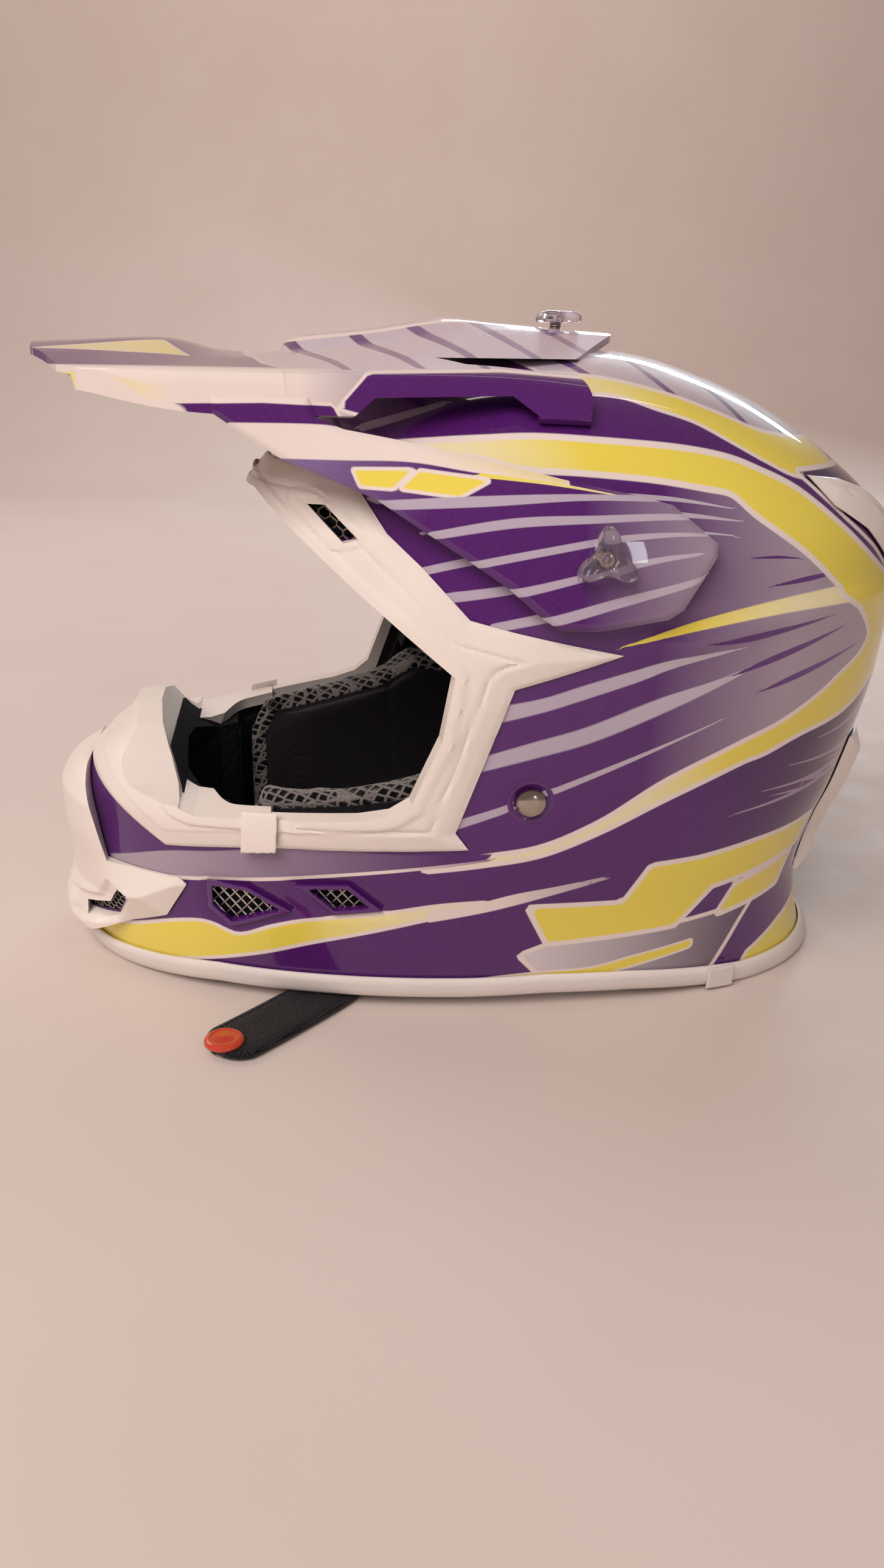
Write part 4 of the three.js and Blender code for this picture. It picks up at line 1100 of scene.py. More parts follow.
def make_pair(name, left, material, slot, *nodes, **options):
    """A left piece and its mirror image, each standing for its own CAD node."""
    right = mirrored(left, name + "_right")
    for piece, side in ((left, "left"), (right, "right")):
        finished(
            piece, f"{name}_{side}", material, slot, "helmet",
            *(f"{node}_{side}" for node in nodes), **options,
        )


make_trim()
make_mouthpiece()
make_chin()
make_rim()

joint = keep(slab(2.95, 4.3, (80, 160), (-2, 14), 60, 24), prism(
    [(88, 1.4), (100, 0.8), (100, 10.6), (88, 11)],
))
make_pair("rim_clip", moulded(joint, 0.4, 3), rubber, "white_rubber", "rim_join")

clasp = keep(slab(2.8, 5.1, (15, 60), (62, 90), 40, 40), prism(CLIP))
make_pair("port_clip", moulded(clasp, 0.45, 4), white, "white_plastic", "mouthpiece_clip")


def scoop_offset(base):
    """The scoop is chamfered, with a sunk field on each side."""
    side = base[:, 1:]
    rise = np.clip(0.8 + 0.35 * inside(side, REAR_SPOILER), 0.6, 3.0)
    groove = 1.2 * step(inside(side, grown(REAR_SPOILER, -6.5)), 0, 1.5)
    return 0.6 + np.clip(rise - groove * (np.abs(base[:, 0]) > 22), 0.5, 3.0)


scoop = keep(slab(0.5, scoop_offset, (110, 250), (156, 208), 240, 80), prism(REAR_SPOILER))
white_piece(scoop, "rear_scoop_moulding", "rear_scoop")


def exhaust_offset(base):
    """A bevelled frame round a louvred window, laid out in the rear view."""
    rear = base[:, [0, 2]]
    depth = inside(rear, REAR_EXHAUST)
    window = step(depth, 6.5, 7.5)
    louvre = ((98 - base[:, 2]) / 11.5) % 1
    return 0.6 + np.clip(0.9 + 0.7 * depth, 0.6, 5.6) - window * (1.2 + 2.6 * louvre)


exhaust = slab(0.5, exhaust_offset, (138, 172), (34, 102), 150, 200)
make_pair("exhaust_moulding", keep(exhaust, prism(REAR_EXHAUST, "y")), white, "white_plastic",
          "rear_exhaust", sharp=30)

# ---------------------------------------------------------------- vent screens


def screen(name, outline, material, slot, node, *, depth, pitch, tall, link, wire):
    """Expanded metal or honeycomb let into a vent: zigzag strands that meet, or are linked."""
    low, high = np.min(outline, 0) - 2, np.max(outline, 0) + 2
    edge = grown(outline, 0.3)
    parts = []

    def put(path):
        place = shell_x(path[:, 0], path[:, 1]) - depth
        parts.append(tube(np.column_stack([place, path]), wire, 6, up=(1, 0, 0), flat=0.7))

    rows = int((high[1] - low[1]) / (tall + link)) + 1
    columns = int((high[0] - low[0]) / (pitch / 2)) + 1
    overlap = 0.97
    for r in range(rows):
        k = np.arange(columns + 1)
        sign = np.where((k + r) % 2 == 0, 1.0, -1.0)
        path = np.column_stack([
            low[0] + k * pitch / 2, low[1] + r * (tall + link) + sign * tall / 2 * overlap,
        ])
        path = np.vstack([
            a + (b - a) * f for a, b in zip(path[:-1], path[1:]) for f in (0, 0.25, 0.5, 0.75)
        ])
        within = inside(path, edge) > 0
        for run in np.split(np.arange(len(path)), np.flatnonzero(np.diff(within)) + 1):
            if within[run[0]] and len(run) > 2:
                put(path[run])
        if link:
            for i in k[sign > 0]:
                start = np.array([low[0] + i * pitch / 2, low[1] + r * (tall + link) + tall / 2])
                bar = np.vstack([start, start + [0, link / 2], start + [0, link]])
                if np.all(inside(bar, edge) > 0):
                    put(bar)
    piece = facing_out(joined(name, parts))
    make_pair(name, piece, material, slot, node)


bright_mesh = metal("expanded metal", "d8d1ca", 0.34)
gloss = plastic("purple moulding", "521a6c", 0.3, worn=0.05, Coat_Weight=0.8, Coat_Roughness=0.06)
for name, outline, angles, heights in (
    ("front_vent_frame", FRONT_VENT, (28, 62), (26, 58)),
    ("rear_vent_frame", REAR_VENT, (52, 80), (38, 62)),
):
    frame_piece = slab(-3, 0.95, angles, heights, 40, 40)
    frame_piece = keep(frame_piece, prism(grown(outline, 1.9)))
    frame_piece = cut(frame_piece, prism(grown(outline, -0.1)))
    make_pair(name, moulded(frame_piece, 0.4, 3), gloss, "shell_paint")
for name, outline in (("front_mesh", FRONT_VENT), ("rear_mesh", REAR_VENT)):
    screen(name, outline, bright_mesh, "expanded_metal", "chin_" + name,
           depth=2.3, pitch=4.3, tall=2.6, link=0, wire=0.33)
screen("brow_honeycomb", BROW_VENT, bright_mesh, "black_plastic", "brow_grille",
       depth=1.4, pitch=4.0, tall=1.4, link=1.5, wire=0.36)
grey = plastic("grey plastic", "8b8480", 0.45)
screen("mouth_honeycomb", CHIN_SLOT, grey, "black_plastic", "mouth_grille",
       depth=1.2, pitch=2.4, tall=0.8, link=1.1, wire=0.36)

# ---------------------------------------------------------------- the peak

# Sections from the front back: y, then x and z of the crest, shoulder, valley, edge and hem.
PEAK_SECTIONS = [
    (-178, 0, 243.5, 12, 242.8, 32, 239.5, 50, 235.5, 51, 231),
    (-150, 0, 245, 13, 244.2, 36, 240.4, 60, 235.2, 61, 229.5),
    (-118, 0, 246.2, 14, 245.2, 40, 240.4, 73, 235.4, 74.5, 223.5),
    (-97, 0, 242, 14, 241.4, 42, 239.4, 79, 235.3, 80.5, 221.5),
    (-76, 0, 242, 14, 241.4, 43, 239.6, 83.5, 235.2, 86, 221.5),
    (-70, 0, 247, 13, 246, 26, 241.6, 84, 235.1, 87, 221.5),
    (-40, 0, 250.6, 13, 249.4, 27, 244.5, 87, 234.8, 91, 221.5),
    (-12, 0, 254.6, 13, 253.4, 28, 249, 89, 234.4, 95, 221.5),
    (10, 0, 253.4, 12, 252.6, 26, 250, 90, 233.6, 99, 221.5),
    (36, 0, 251.6, 10, 251, 20, 249.4, 90, 231.5, 102, 221),
    (60, 0, 250, 8, 249.6, 14, 248.4, 88, 230, 102, 220),
]
PEAK_WALL = 2.6
PEAK_PLAN = [
    (0, -168), (22, -165), (40, -156.5), (54, -151), (62, -143), (84, -98), (120, -60),
    (120, 20), (95, 28), (70, 24), (40, 40), (13, 54.5), (0, 56),
]
PEAK_OPENING = [
    (19, 70), (21, 45), (33, 5), (42, -18), (58, -26), (74, -12), (80, 10), (78, 70),
]
# The side plate's inner face: y, then x at each of the heights.
PLATE_HEIGHTS = [229, 205, 185, 156]
PLATE_ROWS = [
    (-100, 79, 83, 86, 88), (-75, 83.5, 89, 93, 95), (-52, 87, 96, 102, 105),
    (-20, 92, 106, 114, 118), (10, 97, 112.5, 121, 125), (36, 98, 113.5, 122.8, 126.5),
    (68, 94, 110.5, 121, 125),
]


def peak_top():
    """The peak's top and arms before its outline is cut, with slightly softened edges."""
    rows = along(PEAK_SECTIONS, np.linspace(0, len(PEAK_SECTIONS) - 1, 141))
    pairs = rows[:, 1:].reshape(len(rows), 5, 2)
    profile = np.concatenate([pairs[:, :0:-1] * [-1, 1], pairs], 1)
    at = spread([6, 18, 9, 6, 6, 9, 18, 6])
    low = np.minimum(at.astype(int), 7)
    f = (at - low)[None, :, None]
    line_up = profile[:, low] * (1 - f) + profile[:, low + 1] * f
    for _ in range(2):
        line_up[:, 1:-1] = (line_up[:, :-2] + 2 * line_up[:, 1:-1] + line_up[:, 2:]) / 4
    way = unit(np.gradient(line_up, axis=1))
    under = line_up + np.stack([way[..., 1], -way[..., 0]], -1) * PEAK_WALL
    y = np.repeat(rows[:, :1], line_up.shape[1], 1)
    top = np.stack([line_up[..., 0], y, line_up[..., 1]], -1)
    bottom = np.stack([under[..., 0], y, under[..., 1]], -1)
    return sheet_between(top, bottom)


def side_plate():
    """The left side plate, thinned towards its edge."""
    long, tall = 170, 76
    rows = along(PLATE_ROWS, np.linspace(0, len(PLATE_ROWS) - 1, long))
    columns = along(np.column_stack([PLATE_HEIGHTS, rows[:, 1:].T]), np.linspace(0, 3, tall))
    z = np.tile(columns[:, 0], (long, 1))
    x = columns[:, 1:].T
    y = np.repeat(rows[:, :1], tall, 1)
    depth = inside(np.stack([y, z], -1).reshape(-1, 2), SIDE_PLATE).reshape(y.shape)
    thick = PEAK_WALL - 1.5 * np.clip(1 - depth / 2.2, 0, 1) ** 2
    inner = np.stack([x, y, z], -1)
    return keep(sheet_between(inner + np.stack([thick, 0 * x, 0 * x], -1), inner),
                prism(SIDE_PLATE))


# The first four are seen from above, x and y.
PEAK_LIVERY = [
    ("p_spine", 1.4, colour("cfc6d2"), colour("b3a4bb"), (1, 0, -90, 50),
     [[(0, -88), (30, -86), (62, -80), (92, -66), (96, 62), (0, 62)]]),
    ("p_bars", 0, PURPLE, DUSK, (1, 0, -60, 60),
     [[(15, y - 8), (28, y - 4), (60, y + 7), (80, y + 12), (80, y + 15), (60, y + 11),
       (28, y + 1), (15, y - 3)] for y in (-66, -41, -19, 5, 31)]),
    ("p_ridge", 0, PALE, PALE, (1, 0, 0, 1),
     [[(0, -76), (13, -77), (16, -70), (15.5, 56), (12, 58), (10.5, -66), (0, -68)]]),
    ("p_flash", 1, CREAM, YELLOW, (1, 0, -160, -90),
     [[(25, -163), (16, -118), (44, -107), (38, -128)]]),
    ("p_lip", 0, PALE, SILVER, (1, 0, -70, -40),
     [[(-156, 236.2), (-156, 226), (-118, 218), (-57, 218), (-44, 233.6), (-60, 236),
       (-90, 236.2), (-120, 236.3)]]),
    ("p_accent", 0, colour("f0e28c"), PALE, (1, 0, -145, -108),
     [[(-154, 233.5), (-146, 229), (-118, 225), (-106, 229), (-140, 234)]]),
    ("p_under", 1, PURPLE, PURPLE, (1, 0, 0, 1),
     [[(-112, 224.5), (-81, 225.3), (-58, 224.5), (-54, 216), (-92, 216)]]),
    ("p_arm", 1, PURPLE, PURPLE, (1, 0, 0, 1),
     [[(-46, 234.6), (-1, 235.6), (30, 233.5), (40, 215), (24, 215), (5, 217), (-40, 220),
       (-56, 224)]]),
    ("p_plate", 0, colour("8c79a8"), PURPLE, (1, -0.5, -190, -125),
     [[(-99, 216), (-66, 216), (-20, 212), (52, 197), (66, 184), (66, 150), (-99, 150)]]),
    ("p_tail", 0, PURPLE, SILVER, (1, 0, 20, 70),
     [[(20, 203), (52, 197), (68, 186), (68, 150), (20, 150)]]),
    ("p_band", 1, PALE, YELLOW, (1, 0, -30, 45),
     [strip([(-92, 218), (-66, 218), (-55, 217), (-28, 213), (15, 203.5)],
            [(-78, 209), (-55, 209), (-34, 209), (-15, 206.5), (15, 202.5)])]),
    ("p_taper", LINES, YELLOW, CREAM, (1, 0, -10, 40),
     [[(-12, 204.6, 1.4), (10, 202.5, 1), (32, 199, 0.3)]]),
    ("p_mark", 1.1, YELLOW, YELLOW, (1, 0, 0, 1),
     [[(-52, 205), (-34, 205.4), (-40, 200), (-50, 200.4)],
      [(-31, 205.2), (-10, 203), (-19, 198.2), (-37, 200)]]),
    *STRIPE_ROWS,
]


def make_peak():
    slot = prism(box(-SCREW_HOLE, SCREW_HOLE, 25, 43), "z")
    piece = keep(peak_top(), prism(both_sides(PEAK_PLAN), "z", 205, 265))
    piece = cut(
        piece, prism(PEAK_OPENING, "z"), prism([(-x, y) for x, y in PEAK_OPENING], "z"), slot,
        prism(ARM_NOTCH),
    )
    left = side_plate()
    piece = combine(piece, ("UNION", mirrored(left, "plate")), ("UNION", left))
    piece = cut(piece, prism(circle(SCREW_HOLE, PIVOT)))
    lay_on(piece, PEAK_LIVERY, [name for name, *_ in PEAK_LIVERY[:4]])
    finished(
        piece, "peak_painted", livery_paint("peak lacquer", PEAK_LIVERY, PURPLE), "peak_paint",
        "peak", "peak", sharp=28,
    )


make_peak()

# ---------------------------------------------------------------- screws and rivets

steel = metal("plated steel", "bdb2a8", 0.22)
glass = clear("clear plastic")


def knob(height):
    """A three lobed thumb screw with a hexagon socket, its underside at 0."""
    sides = 96
    turn = full_turn(sides)
    lobe = 5.2 + 5.6 * ((1 + np.cos(3 * (turn - math.pi / 2))) / 2) ** 1.6
    levels = [(0, 0.86), (0.3, 0.95), (0.9, 1), (height - 1.6, 0.97), (height - 0.7, 0.9),
              (height - 0.2, 0.78), (height, 0.6)]
    rings = [np.column_stack([
        np.cos(turn) * lobe * f, np.sin(turn) * lobe * f, np.full(sides, level),
    ]) for level, f in levels]
    ends = [(0, 0, 0), (0, 0, height)]
    made = mesh_object("knob", *capped(np.vstack(rings), ends, len(levels), sides))
    return cut(facing_out(made), prism(circle(2.7, (0, 0), 6), "z", height - 2.6, height + 1))


def shank(end, start):
    """A threaded screw along Z between two heights."""
    rings = []
    for i, height in enumerate(np.arange(end, start, 0.5)):
        rings.append((2.45 if i % 2 else 2.05, height))
    return [(0, end)] + rings + [(2.2, start), (0, start)]


def place_knob(name, height, reach, place, axis, body, node):
    """A clear thumb screw and its steel shank, which reaches a distance below its seat."""
    made = knob(height)
    screw = lathe(shank(-reach, 0.6), (0, 0, 0), sides=24)
    for piece in (made, screw):
        p = points_of(piece)
        if axis == "x":
            p = p[:, [2, 0, 1]]
        if axis == "-x":
            p = p[:, [2, 0, 1]] * [-1, 1, 1]
            piece.data.flip_normals()
        set_points(piece, p + place)
    finished(made, name, glass, "clear_plastic", body, node)
    finished(screw, name + "_screw", steel, "plated_steel", body)


side_seat = PLATE_X + PEAK_WALL + 2.4
side_reach = side_seat - half_width(PIVOT) + 12
place_knob("side_knob_left", 6, side_reach, (side_seat, *PIVOT), "x", "left_knob",
           "peak_knob_left")
place_knob("side_knob_right", 6, side_reach, (-side_seat, *PIVOT), "-x", "right_knob",
           "peak_knob_right")
place_knob("crown_knob", 4.2, 18, (0, TOP_SCREW_Y, PEAK_TOP + 2.2), "z", "top_knob",
           "peak_top_knob")

RIVET_X = half_width(RIVET)


def on_rivet(piece):
    """Turns a piece built along X from the origin to stand on the shell at the rivet."""
    y, z = np.array(RIVET)[:, None] + [[0, 1, 0], [0, 0, 1]]
    x = shell_x(y, z)
    way = Vector((1, x[0] - x[1], x[0] - x[2]))
    turn = np.array(Vector((1, 0, 0)).rotation_difference(way).to_matrix())
    set_points(piece, points_of(piece) @ turn.T + [RIVET_X, *RIVET])
    return piece


dome = [(0, 0.2), (5.6, 0.2), (5.7, 0.7), (5.4, 1.5), (4.7, 2.4), (3.6, 3.1), (2.2, 3.55),
        (0.9, 3.7), (0, 3.72)]
tail = [(0, -19), (5.2, -19), (5.6, -18.6), (5.5, -17.6), (4.4, -17.1), (2.5, -17), (2.5, 0.3),
        (0, 0.3)]
head = on_rivet(lathe(dome, (-0.7, 0, 0), "x"))
make_pair("rivet_dome", head, steel, "plated_steel", "strap_rivet", sharp=60)
make_pair("rivet_tail", lathe(tail, (RIVET_X, *RIVET), "x", 24), steel, "plated_steel")
cup = lathe([(0, -0.9), (7.6, -0.9), (8.6, -0.4), (8.5, 0.1), (7.8, 0.2), (7, -0.2),
             (6.4, -0.6), (0, -0.6)], (-0.5, 0, 0), "x")
make_pair("rivet_cup", on_rivet(cup), gloss, "shell_paint", sharp=60)

brow = lathe([(0, -0.4), (3.3, -0.4), (3.4, 0.6), (3, 1.5), (2, 2.1), (0.9, 2.2), (0.8, 1.5),
              (0, 1.5)], (0, *BROW_SCREW), "-y", 32)
finished(brow, "brow_screw_head", steel, "plated_steel", "helmet", "brow_screw")

# ---------------------------------------------------------------- pads

pad = pad_cloth("pad cloth", 9)
liner_pad = pad_cloth("liner cloth", 15)
soft_black = foam("soft black foam", "1b1a1d", 1.2)


def settled(piece, pressure, cap):
    """Swells a pad with the cloth solver, no point further than a cap."""
    before = points_of(piece)
    frames = 16
    cloth = piece.modifiers.new("cloth", "CLOTH")
    cloth.settings.quality = 5
    cloth.settings.mass = 0.3
    cloth.settings.use_pressure = True
    cloth.settings.uniform_pressure_force = pressure
    cloth.settings.tension_stiffness = 25
    cloth.settings.bending_stiffness = 1.5
    cloth.settings.effector_weights.gravity = 0
    cloth.collision_settings.use_collision = False
    cloth.point_cache.frame_end = frames
    scene = bpy.context.scene
    for number in range(1, frames + 1):
        scene.frame_set(number)
    apply_all(piece)
    scene.frame_set(1)
    move = points_of(piece) - before
    length = np.linalg.norm(move, axis=1, keepdims=True)
    set_points(piece, before + move * np.minimum(1, cap / np.maximum(length, 1e-6)))
    return piece


def refined(piece):
    """One level of subdivision."""
    piece.modifiers.new("finer", "SUBSURF").levels = 1
    return apply_all(piece)


def puffed(piece, voxel, rounds, pressure, cap):
    return refined(settled(moulded(piece, voxel, rounds), pressure, cap))


def seam(piece, distance, depth, width):
    """Presses a channel into a pad where a distance, a function of its points, is near 0."""
    points = points_of(piece)
    press = depth * np.exp(-(distance(points) / width) ** 2)
    set_points(piece, points - point_normals(piece) * press[:, None])


def cheek_depth(base):
    """The pad's inner face swells from its edge like a quarter of an ellipse."""
    edge, swell, width = -25, 12.5, 16
    across = np.clip(1 - inside(base[:, 1:], CHEEK_PAD) / width, 0, 1)
    return edge - swell * np.sqrt(np.clip(1 - across ** 2, 0, 1))


def cheek_pad():
    piece = slab(cheek_depth, -18.6, (8, 122), (14, 108), 110, 72)
    piece = keep(piece, prism(grown(CHEEK_PAD, -1.2), "x", 0, 200))
    piece = puffed(piece, 3, 4, 3.5, 2.2)
    seam(piece, lambda p: inside(p[:, 1:], CHEEK_PAD) - 9.2, 1.3, 1.0)
    seam(piece, lambda p: np.where(inside(p[:, 1:], CHEEK_PAD) > 9, p[:, 1] + 26, FAR), 1.2, 1.6)
    attribute(piece, "edge", inside(points_of(piece)[:, 1:], CHEEK_PAD))
    return piece


left_pad = cheek_pad()
right_pad = mirrored(left_pad, "cheek_cushion_right")
for piece, side in ((left_pad, "left"), (right_pad, "right")):
    finished(piece, "cheek_cushion_" + side, pad, "liner_cloth", "helmet",
             "cheek_pad_" + side, sharp=180)


def crown_pad():
    piece = ball(-30.6, 150, 60)
    port = grown(SHELL_PORT, 4.6)
    below = [(-230, -60), (-230, 112), (26, 112), (60, 96), (60, 78), (230, 78), (230, -60)]
    piece = cut(piece, ball(-37.2, 130, 52), prism(port), prism(below))
    piece = puffed(piece, 3, 5, 2.5, 1.6)
    seam(piece, lambda p: np.abs(p[:, 0]) - 30, 2.2, 2.2)
    seam(piece, lambda p: p[:, 1] - 62, 1.8, 2.2)
    seam(piece, lambda p: inside(p[:, 1:], port) + 15, 1.2, 1.0)
    attribute(piece, "edge", -inside(points_of(piece)[:, 1:], port))
    return piece


def nape_pad():
    piece = slab(-37.6, -30.8, (100, 260), (14, 74), 120, 34)
    piece = keep(piece, prism(box(64, 230, 13.5, 74.5)))
    piece = puffed(piece, 2.8, 5, 2.5, 1.4)
    seam(piece, lambda p: p[:, 2] - 44, 1.6, 1.8)
    attribute(piece, "edge", 15 + 0.5 * (40 - np.abs(points_of(piece)[:, 2] - 44) * 1.6))
    return piece


def breath_pad():
    piece = slab(-29.4, -24.6, (-70, 70), (14, 76), 110, 50)
    piece = keep(piece, prism(box(-230, -109, 17, 73)))
    return refined(moulded(piece, 2.2, 5))


for piece, name, material, slot, node, fill in (
    (crown_pad(), "crown_cushion", liner_pad, "liner_cloth", "comfort_liner", 0.6),
    (nape_pad(), "nape_cushion", liner_pad, "liner_cloth", "neck_roll", 0.7),
    (breath_pad(), "breath_pad", soft_black, "soft_foam", "breath_foam", 0.8),
):
    finished(piece, name, material, slot, "helmet", node, sharp=180)

# ---------------------------------------------------------------- the chin strap

tape = webbing("strap webbing")
thread = plastic("stitching", "2d2b30", 0.7, worn=0.02)
STRAP_WIDTH, STRAP_THICK, STRAP_DEPTH = 25, 2.1, 14.3
STRAP_DROP = [(12.5, 103), (8.4, 92), (-3, 76), (-20, 55), (-38, 33), (-50, 17)]
LONG_END = [
    ((71.5, -55, 8.5), (0.4, 0.9, 0), (1, -0.4, 0.1)),
    ((72.5, -57, 4), (0.45, 0.88, 0), (1, -0.4, 1)),
    ((76.5, -61, 2.2), (0.55, 0.83, 0), (0.2, -0.1, 1)),
    ((86, -70, 2.1), (0.66, 0.75, 0), (0, 0, 1)),
    ((104, -89, 2.1), (0.76, 0.65, 0), (0, 0, 1)),
    ((119, -106, 2.1), (0.76, 0.65, 0), (0, 0, 1)),
]
SHORT_END = [
    ((71.5, -55, 8.5), (0.4, 0.9, 0), (1, -0.3, -0.3)),
    ((69.5, -56.2, 4.2), (0.42, 0.9, 0), (0.9, -0.3, -1)),
    ((64, -58, 2.6), (0.39, 0.92, 0), (0.2, 0, -1)),
    ((47.7, -63.3, 2.4), (-0.378, 0.926, 0), (0, 0, -1)),
]
BUTTON = (115, -103)
LOOP = (41, -66, 0.388, 2.4)  # x, y, turn about Z and height of the D rings' frame


def drop_stations():
    """The part of a strap inside the shell: middle, direction across and outward side."""
    path = np.array(STRAP_DROP, float)
    slope = unit(np.gradient(path, axis=0))
    side = np.column_stack([-slope[:, 1], slope[:, 0]]) * 4
    a, b = path + side, path - side
    x = shell_x(path[:, 0], path[:, 1]) - STRAP_DEPTH
    across = np.column_stack([shell_x(*a.T) - shell_x(*b.T), a - b])
    return [((x[i], *path[i]), across[i], (1, -0.25, -0.1)) for i in range(len(path))]


def strap_frames(stations):
    """The strap's middle line, direction across and outward side at close steps."""
    rows = np.array([
        np.concatenate([at, unit(np.array(across)), unit(np.array(out))])
        for at, across, out in stations
    ])
    made = along(rows, spread([math.ceil(n / STRAP_STEP) for n in span_lengths(rows[:, :3])]))
    middle, across, out = made[:, :3], made[:, 3:6], made[:, 6:]
    across = unit(across)
    return middle, across, unit(out - across * np.sum(out * across, 1)[:, None])


def strap_band(frames, tip):
    """A tape with rounded selvedges, and a round tip where asked for."""
    middle, across, out = frames
    count = len(middle)
    left = np.concatenate([[0], np.cumsum(span_lengths(middle[::-1]))])[::-1]
    half = np.full(count, STRAP_WIDTH / 2)
    if tip:
        half *= np.sqrt(np.clip(1 - np.clip(1 - (left + 0.5) / 10, 0, 1) ** 2, 0.02, 1))
    section = [(-1, -0.2), (-0.985, 0.7), (-0.93, 1), (-0.5, 1), (0, 1), (0.5, 1), (0.93, 1),
               (0.985, 0.7), (1, -0.2), (0.985, -0.8), (0.93, -1), (0.5, -1), (0, -1),
               (-0.5, -1), (-0.93, -1), (-0.985, -0.8)]
    rings = np.stack([
        middle + across * (a * half)[:, None] + out * (b * STRAP_THICK / 2)
        for a, b in section
    ], 1)
    faces = ring_faces(count, len(section), False)
    return facing_out(mesh_object("strap", rings.reshape(-1, 3), faces)), half


def stitches(frames, half, name):
    """Rows of raised stitches along both edges."""
    middle, across, out = frames
    parts = []
    way = unit(np.gradient(middle, axis=0))
    for edge in (-1, 1):
        for i in range(2, len(middle) - 1):
            if half[i] < 5:
                continue
            spot = middle[i] + across[i] * edge * (half[i] - 2.2) + out[i] * (STRAP_THICK / 2)
            bend = [(-0.85, -0.15), (-0.45, 0.14), (0, 0.22), (0.45, 0.14), (0.85, -0.15)]
            path = np.array([spot + way[i] * a + out[i] * b for a, b in bend])
            parts.append(tube(path, 0.3, 5, up=tuple(across[i])))
    return joined(name, parts)


long_frames = strap_frames(drop_stations() + LONG_END)
long_strap, long_half = strap_band(long_frames, True)
long_strap = cut(long_strap, prism(circle(STRAP_HOLE, RIVET), "x", 60, 200),
                 prism(circle(2.8, BUTTON), "z", -5, 12))
finished(long_strap, "strap_tape_long", tape, "webbing", "helmet", "strap_long", sharp=60)
finished(stitches(long_frames, long_half, "s"), "strap_stitches_long", thread, "webbing",
         "helmet")
short_frames = strap_frames(drop_stations() + SHORT_END)
short_strap, short_half = strap_band(short_frames, False)
short_strap = cut(short_strap, prism(circle(STRAP_HOLE, RIVET), "x", 60, 200))


def loop_points(points):
    """From the frame of the D rings, on the left, to the helmet's."""
    loop_x, loop_y, angle, rise = LOOP
    c, s = math.cos(angle), math.sin(angle)
    x, y, z = np.asarray(points, float).T
    return np.column_stack([loop_x + x * c - y * s, loop_y + x * s + y * c, z + rise])


def strap_loop():
    """The end of the short strap, folded round the rings' bars."""
    outer = [(8, -1.2), (8, 4.4), (7.2, 5.2), (6, 5.4), (-4.6, 5.4), (-6, 5), (-6.5, 3.8),
             (-6.5, -0.4), (-5.8, -1.6), (-4.6, -1.9), (7.2, -1.9)]
    hole = [(6, -0.1), (6, 3.9), (-3.8, 3.9), (-4.7, 3.2), (-4.7, 0.6), (-3.8, -0.1)]
    made = cut(prism(outer, "y", -12, 12), prism(hole, "y", -14, 14))
    set_points(made, loop_points(points_of(made)))
    return made


short_strap = combine(short_strap, ("UNION", strap_loop()))
right_strap = mirrored(short_strap, "strap_tape_short")
bpy.data.objects.remove(short_strap)
finished(right_strap, "strap_tape_short", tape, "webbing", "helmet", "strap_short", sharp=50)
left_stitches = stitches(short_frames, short_half, "s")
finished(mirrored(left_stitches, "t"), "strap_stitches_short", thread, "webbing", "helmet")
bpy.data.objects.remove(left_stitches)


def d_ring(name, bar, lean, body, node):
    """A D shaped ring of round wire whose straight bar lies in the strap's loop."""
    half, reach, lift, wire = 14.5, 22, 1.9, 1.5
    corners = np.array([
        (bar, -half), (bar, 1.8 - half), (bar, half - 1.8), (bar, half),
        (bar - 0.35 * reach, half), (bar - 0.8 * reach, 0.72 * half),
        (bar - reach, 0.3 * half), (bar - reach, -0.3 * half),
        (bar - 0.8 * reach, -0.72 * half), (bar - 0.35 * reach, -half),
    ])
    for _ in range(3):
        after = np.roll(corners, -1, 0)
        corners = np.stack([0.75 * corners + 0.25 * after, 0.25 * corners + 0.75 * after], 1)
        corners = corners.reshape(-1, 2)
    x = corners[:, 0] - bar
    path = np.column_stack([
        bar + x * math.cos(lean), corners[:, 1], lift - x * math.sin(lean),
    ])
    across = (math.sin(lean), 0, math.cos(lean))
    points, faces = tube(path, wire, 14, True, up=across)
    points = loop_points(points) * [-1, 1, 1]
    piece = facing_out(mesh_object(name, points, faces))
    finished(piece, name, steel, "plated_steel", body, node, sharp=180)


d_ring("ring_inner", 3.9, 0.56, "inner_ring", "d_ring_inner")
d_ring("ring_outer", -2.6, 0, "outer_ring", "d_ring_outer")

enamel = plastic("orange enamel", "c8452a", 0.3, worn=0.12, Coat_Weight=0.6, Coat_Roughness=0.1)
cap = lathe([(0, 2.9), (6.9, 3.1), (7.4, 3.5), (7.45, 4.1), (7.1, 4.9), (6.2, 5.5), (5.4, 5.7),
             (4.9, 5.45), (4.4, 5.4), (2, 5.75), (0, 5.85)], (*BUTTON, 0), sides=64)
finished(cap, "press_stud_cap", enamel, "snap_enamel", "helmet", "snap_cap", sharp=60)

# ---------------------------------------------------------------- carried over CAD pieces

bead = foam("black bead foam", "202023", 3.2)
for names, material in (
    (("crown_liner", "chin_liner"), bead),
    (("peak_spacer_left", "peak_spacer_right", "peak_top_spacer"), black),
    (("peak_nut_left", "peak_nut_right", "peak_top_nut", "strap_washer_left",
      "strap_washer_right", "snap_socket"), steel),
):
    for name in names:
        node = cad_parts[name]
        node.data.materials.clear()
        node.data.materials.append(material)

# ---------------------------------------------------------------- floor, light and camera


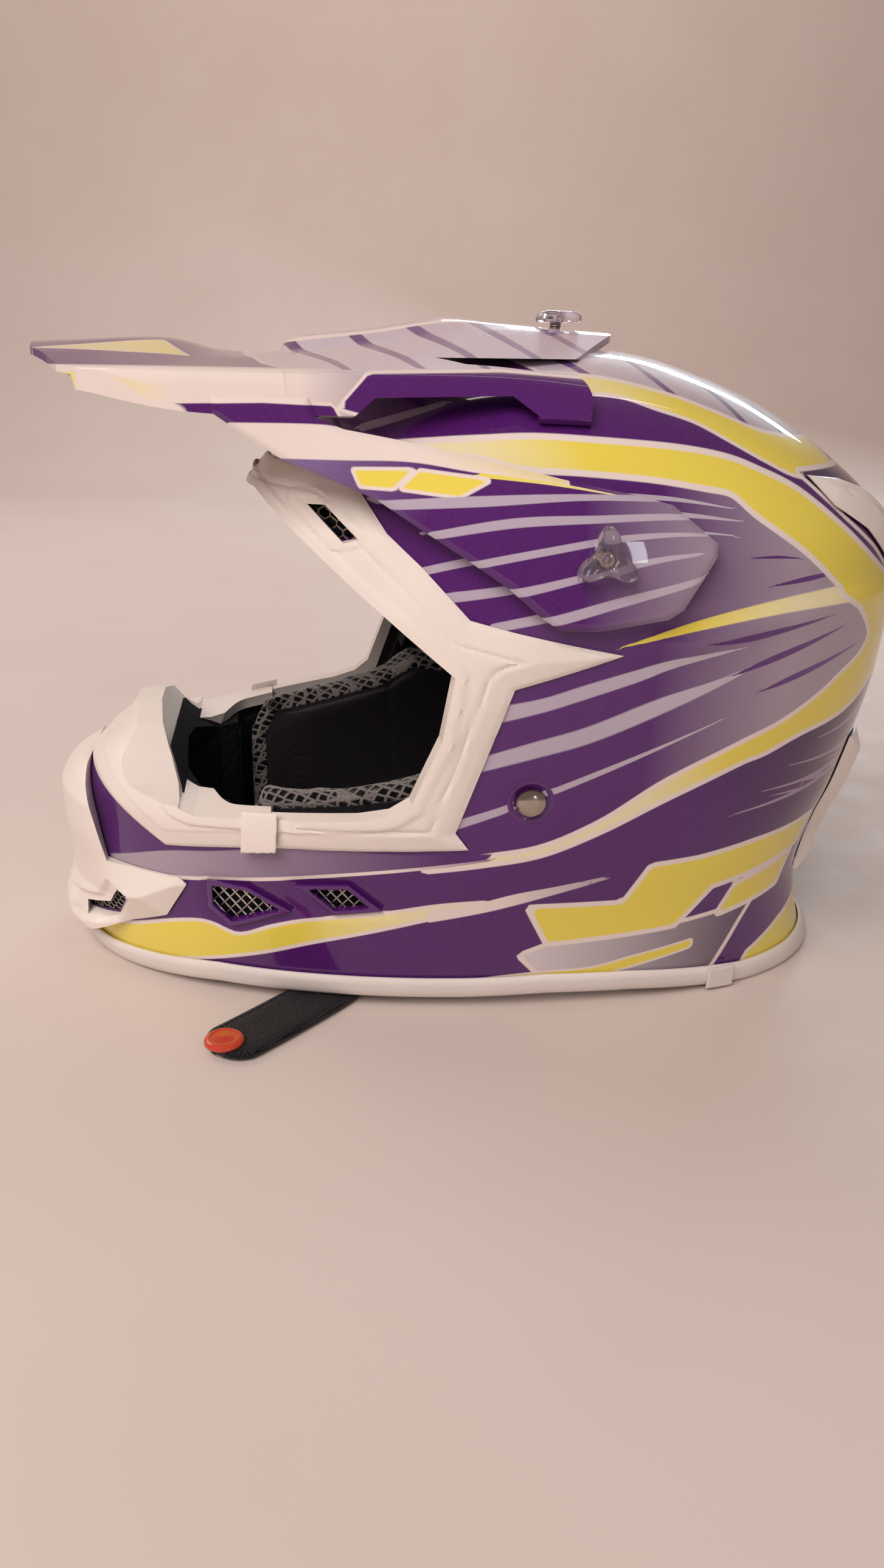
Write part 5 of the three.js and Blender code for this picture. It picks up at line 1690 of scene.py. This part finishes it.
def stage_floor():
    """A pale floor that sweeps up into a pale wall, far behind on the right. In metres."""
    near, far, sweep, wall_top, half = 1.8, -1.7, 0.8, 3, 2.6
    level_steps, sweep_steps = 24, 14
    run = np.concatenate([np.linspace(near, far, level_steps), np.full(sweep_steps, far)])
    start = -(level_steps - 1) / (sweep_steps - 1)
    turn = np.clip(np.linspace(start, 1, len(run)), 0, 1) * math.pi / 2
    away = run - sweep * np.sin(turn)
    up = sweep * (1 - np.cos(turn))
    away = np.append(away, away[-1])
    up = np.append(up, wall_top)
    across = np.linspace(-half, half, 30)
    grid = np.array([(x, y, z) for x, z in zip(away, up) for y in across]) / MM
    made = mesh_object("floor", grid, grid_faces(len(up), len(across), False))
    made.data.shade_smooth()
    paint = Paint("pale floor", Specular_IOR_Level=0.3)
    paint.base(paint.mix(paint.noise(6, 4), colour("d6c8c1"), colour("ded3cd")))
    paint.rough(paint.ramp(paint.noise(30, 3), 0.3, 0.7, 0.45, 0.6))
    made.data.materials.append(paint.made)


def lamp(name, place, aim, size, power, tint, mirrored_in_lacquer=True):
    data = bpy.data.lights.new(name, "AREA")
    data.shape = "RECTANGLE"
    data.size, data.size_y = size
    data.energy = power
    data.color = tint
    made = bpy.data.objects.new(name, data)
    made.location = place
    made.rotation_euler = (Vector(aim) - Vector(place)).to_track_quat("-Z", "Y").to_euler()
    made.visible_glossy = mirrored_in_lacquer
    bpy.context.scene.collection.objects.link(made)


stage_floor()
lamp("window", (-1.95, 0.85, 0.86), (0, 0, 0.2), (1.3, 0.15), 9, (0.72, 0.90, 1.0))
lamp("room", (1.2, -0.9, 1.5), (0, 0, 0.12), (1.6, 1.2), 34, (1.0, 0.90, 0.84), False)
lamp("pane", (1.5, 0.5, 0.55), (0, 0, 0.12), (0.12, 0.34), 1.2, (0.92, 0.95, 1.0))
lamp("back", (-1.0, -1.2, 1.3), (0, 0, 0.15), (1.0, 1.0), 8, (1.0, 0.90, 0.86))
lamp("wall", (-0.9, 0.2, 1.9), (-2.4, 0, 0.9), (1.6, 0.6), 14, (1.0, 0.84, 0.78))

world = bpy.data.worlds.new("room light")
world.use_nodes = True
world.node_tree.nodes["Background"].inputs["Color"].default_value = colour("d9c2ba")
world.node_tree.nodes["Background"].inputs["Strength"].default_value = 0.3
bpy.context.scene.world = world
bpy.context.scene.view_settings.view_transform = "Standard"

# The camera stands at the helmet's left, level with its crown, looking down at it.
EYE = (0.4973, -0.076, 0.2402)
PITCH, YAW, ROLL = math.radians(19.84), math.radians(7.77), math.radians(0.79)
FOCAL, SENSOR_HEIGHT = 27.17, 36


def place_camera():
    look = Vector((
        -math.cos(PITCH) * math.cos(YAW), math.cos(PITCH) * math.sin(YAW), -math.sin(PITCH),
    ))
    right = Vector((math.sin(YAW), math.cos(YAW), 0))
    up = right.cross(look)
    right, up = (
        right * math.cos(ROLL) + up * math.sin(ROLL), up * math.cos(ROLL) - right * math.sin(ROLL),
    )
    data = bpy.data.cameras.new("camera")
    data.sensor_fit = "VERTICAL"
    data.sensor_height = SENSOR_HEIGHT
    data.lens = FOCAL
    data.clip_start = 0.01
    made = bpy.data.objects.new("camera", data)
    made.matrix_world = Matrix((
        (right.x, up.x, -look.x, EYE[0]), (right.y, up.y, -look.y, EYE[1]),
        (right.z, up.z, -look.z, EYE[2]), (0, 0, 0, 1),
    ))
    bpy.context.scene.collection.objects.link(made)
    bpy.context.scene.camera = made


place_camera()
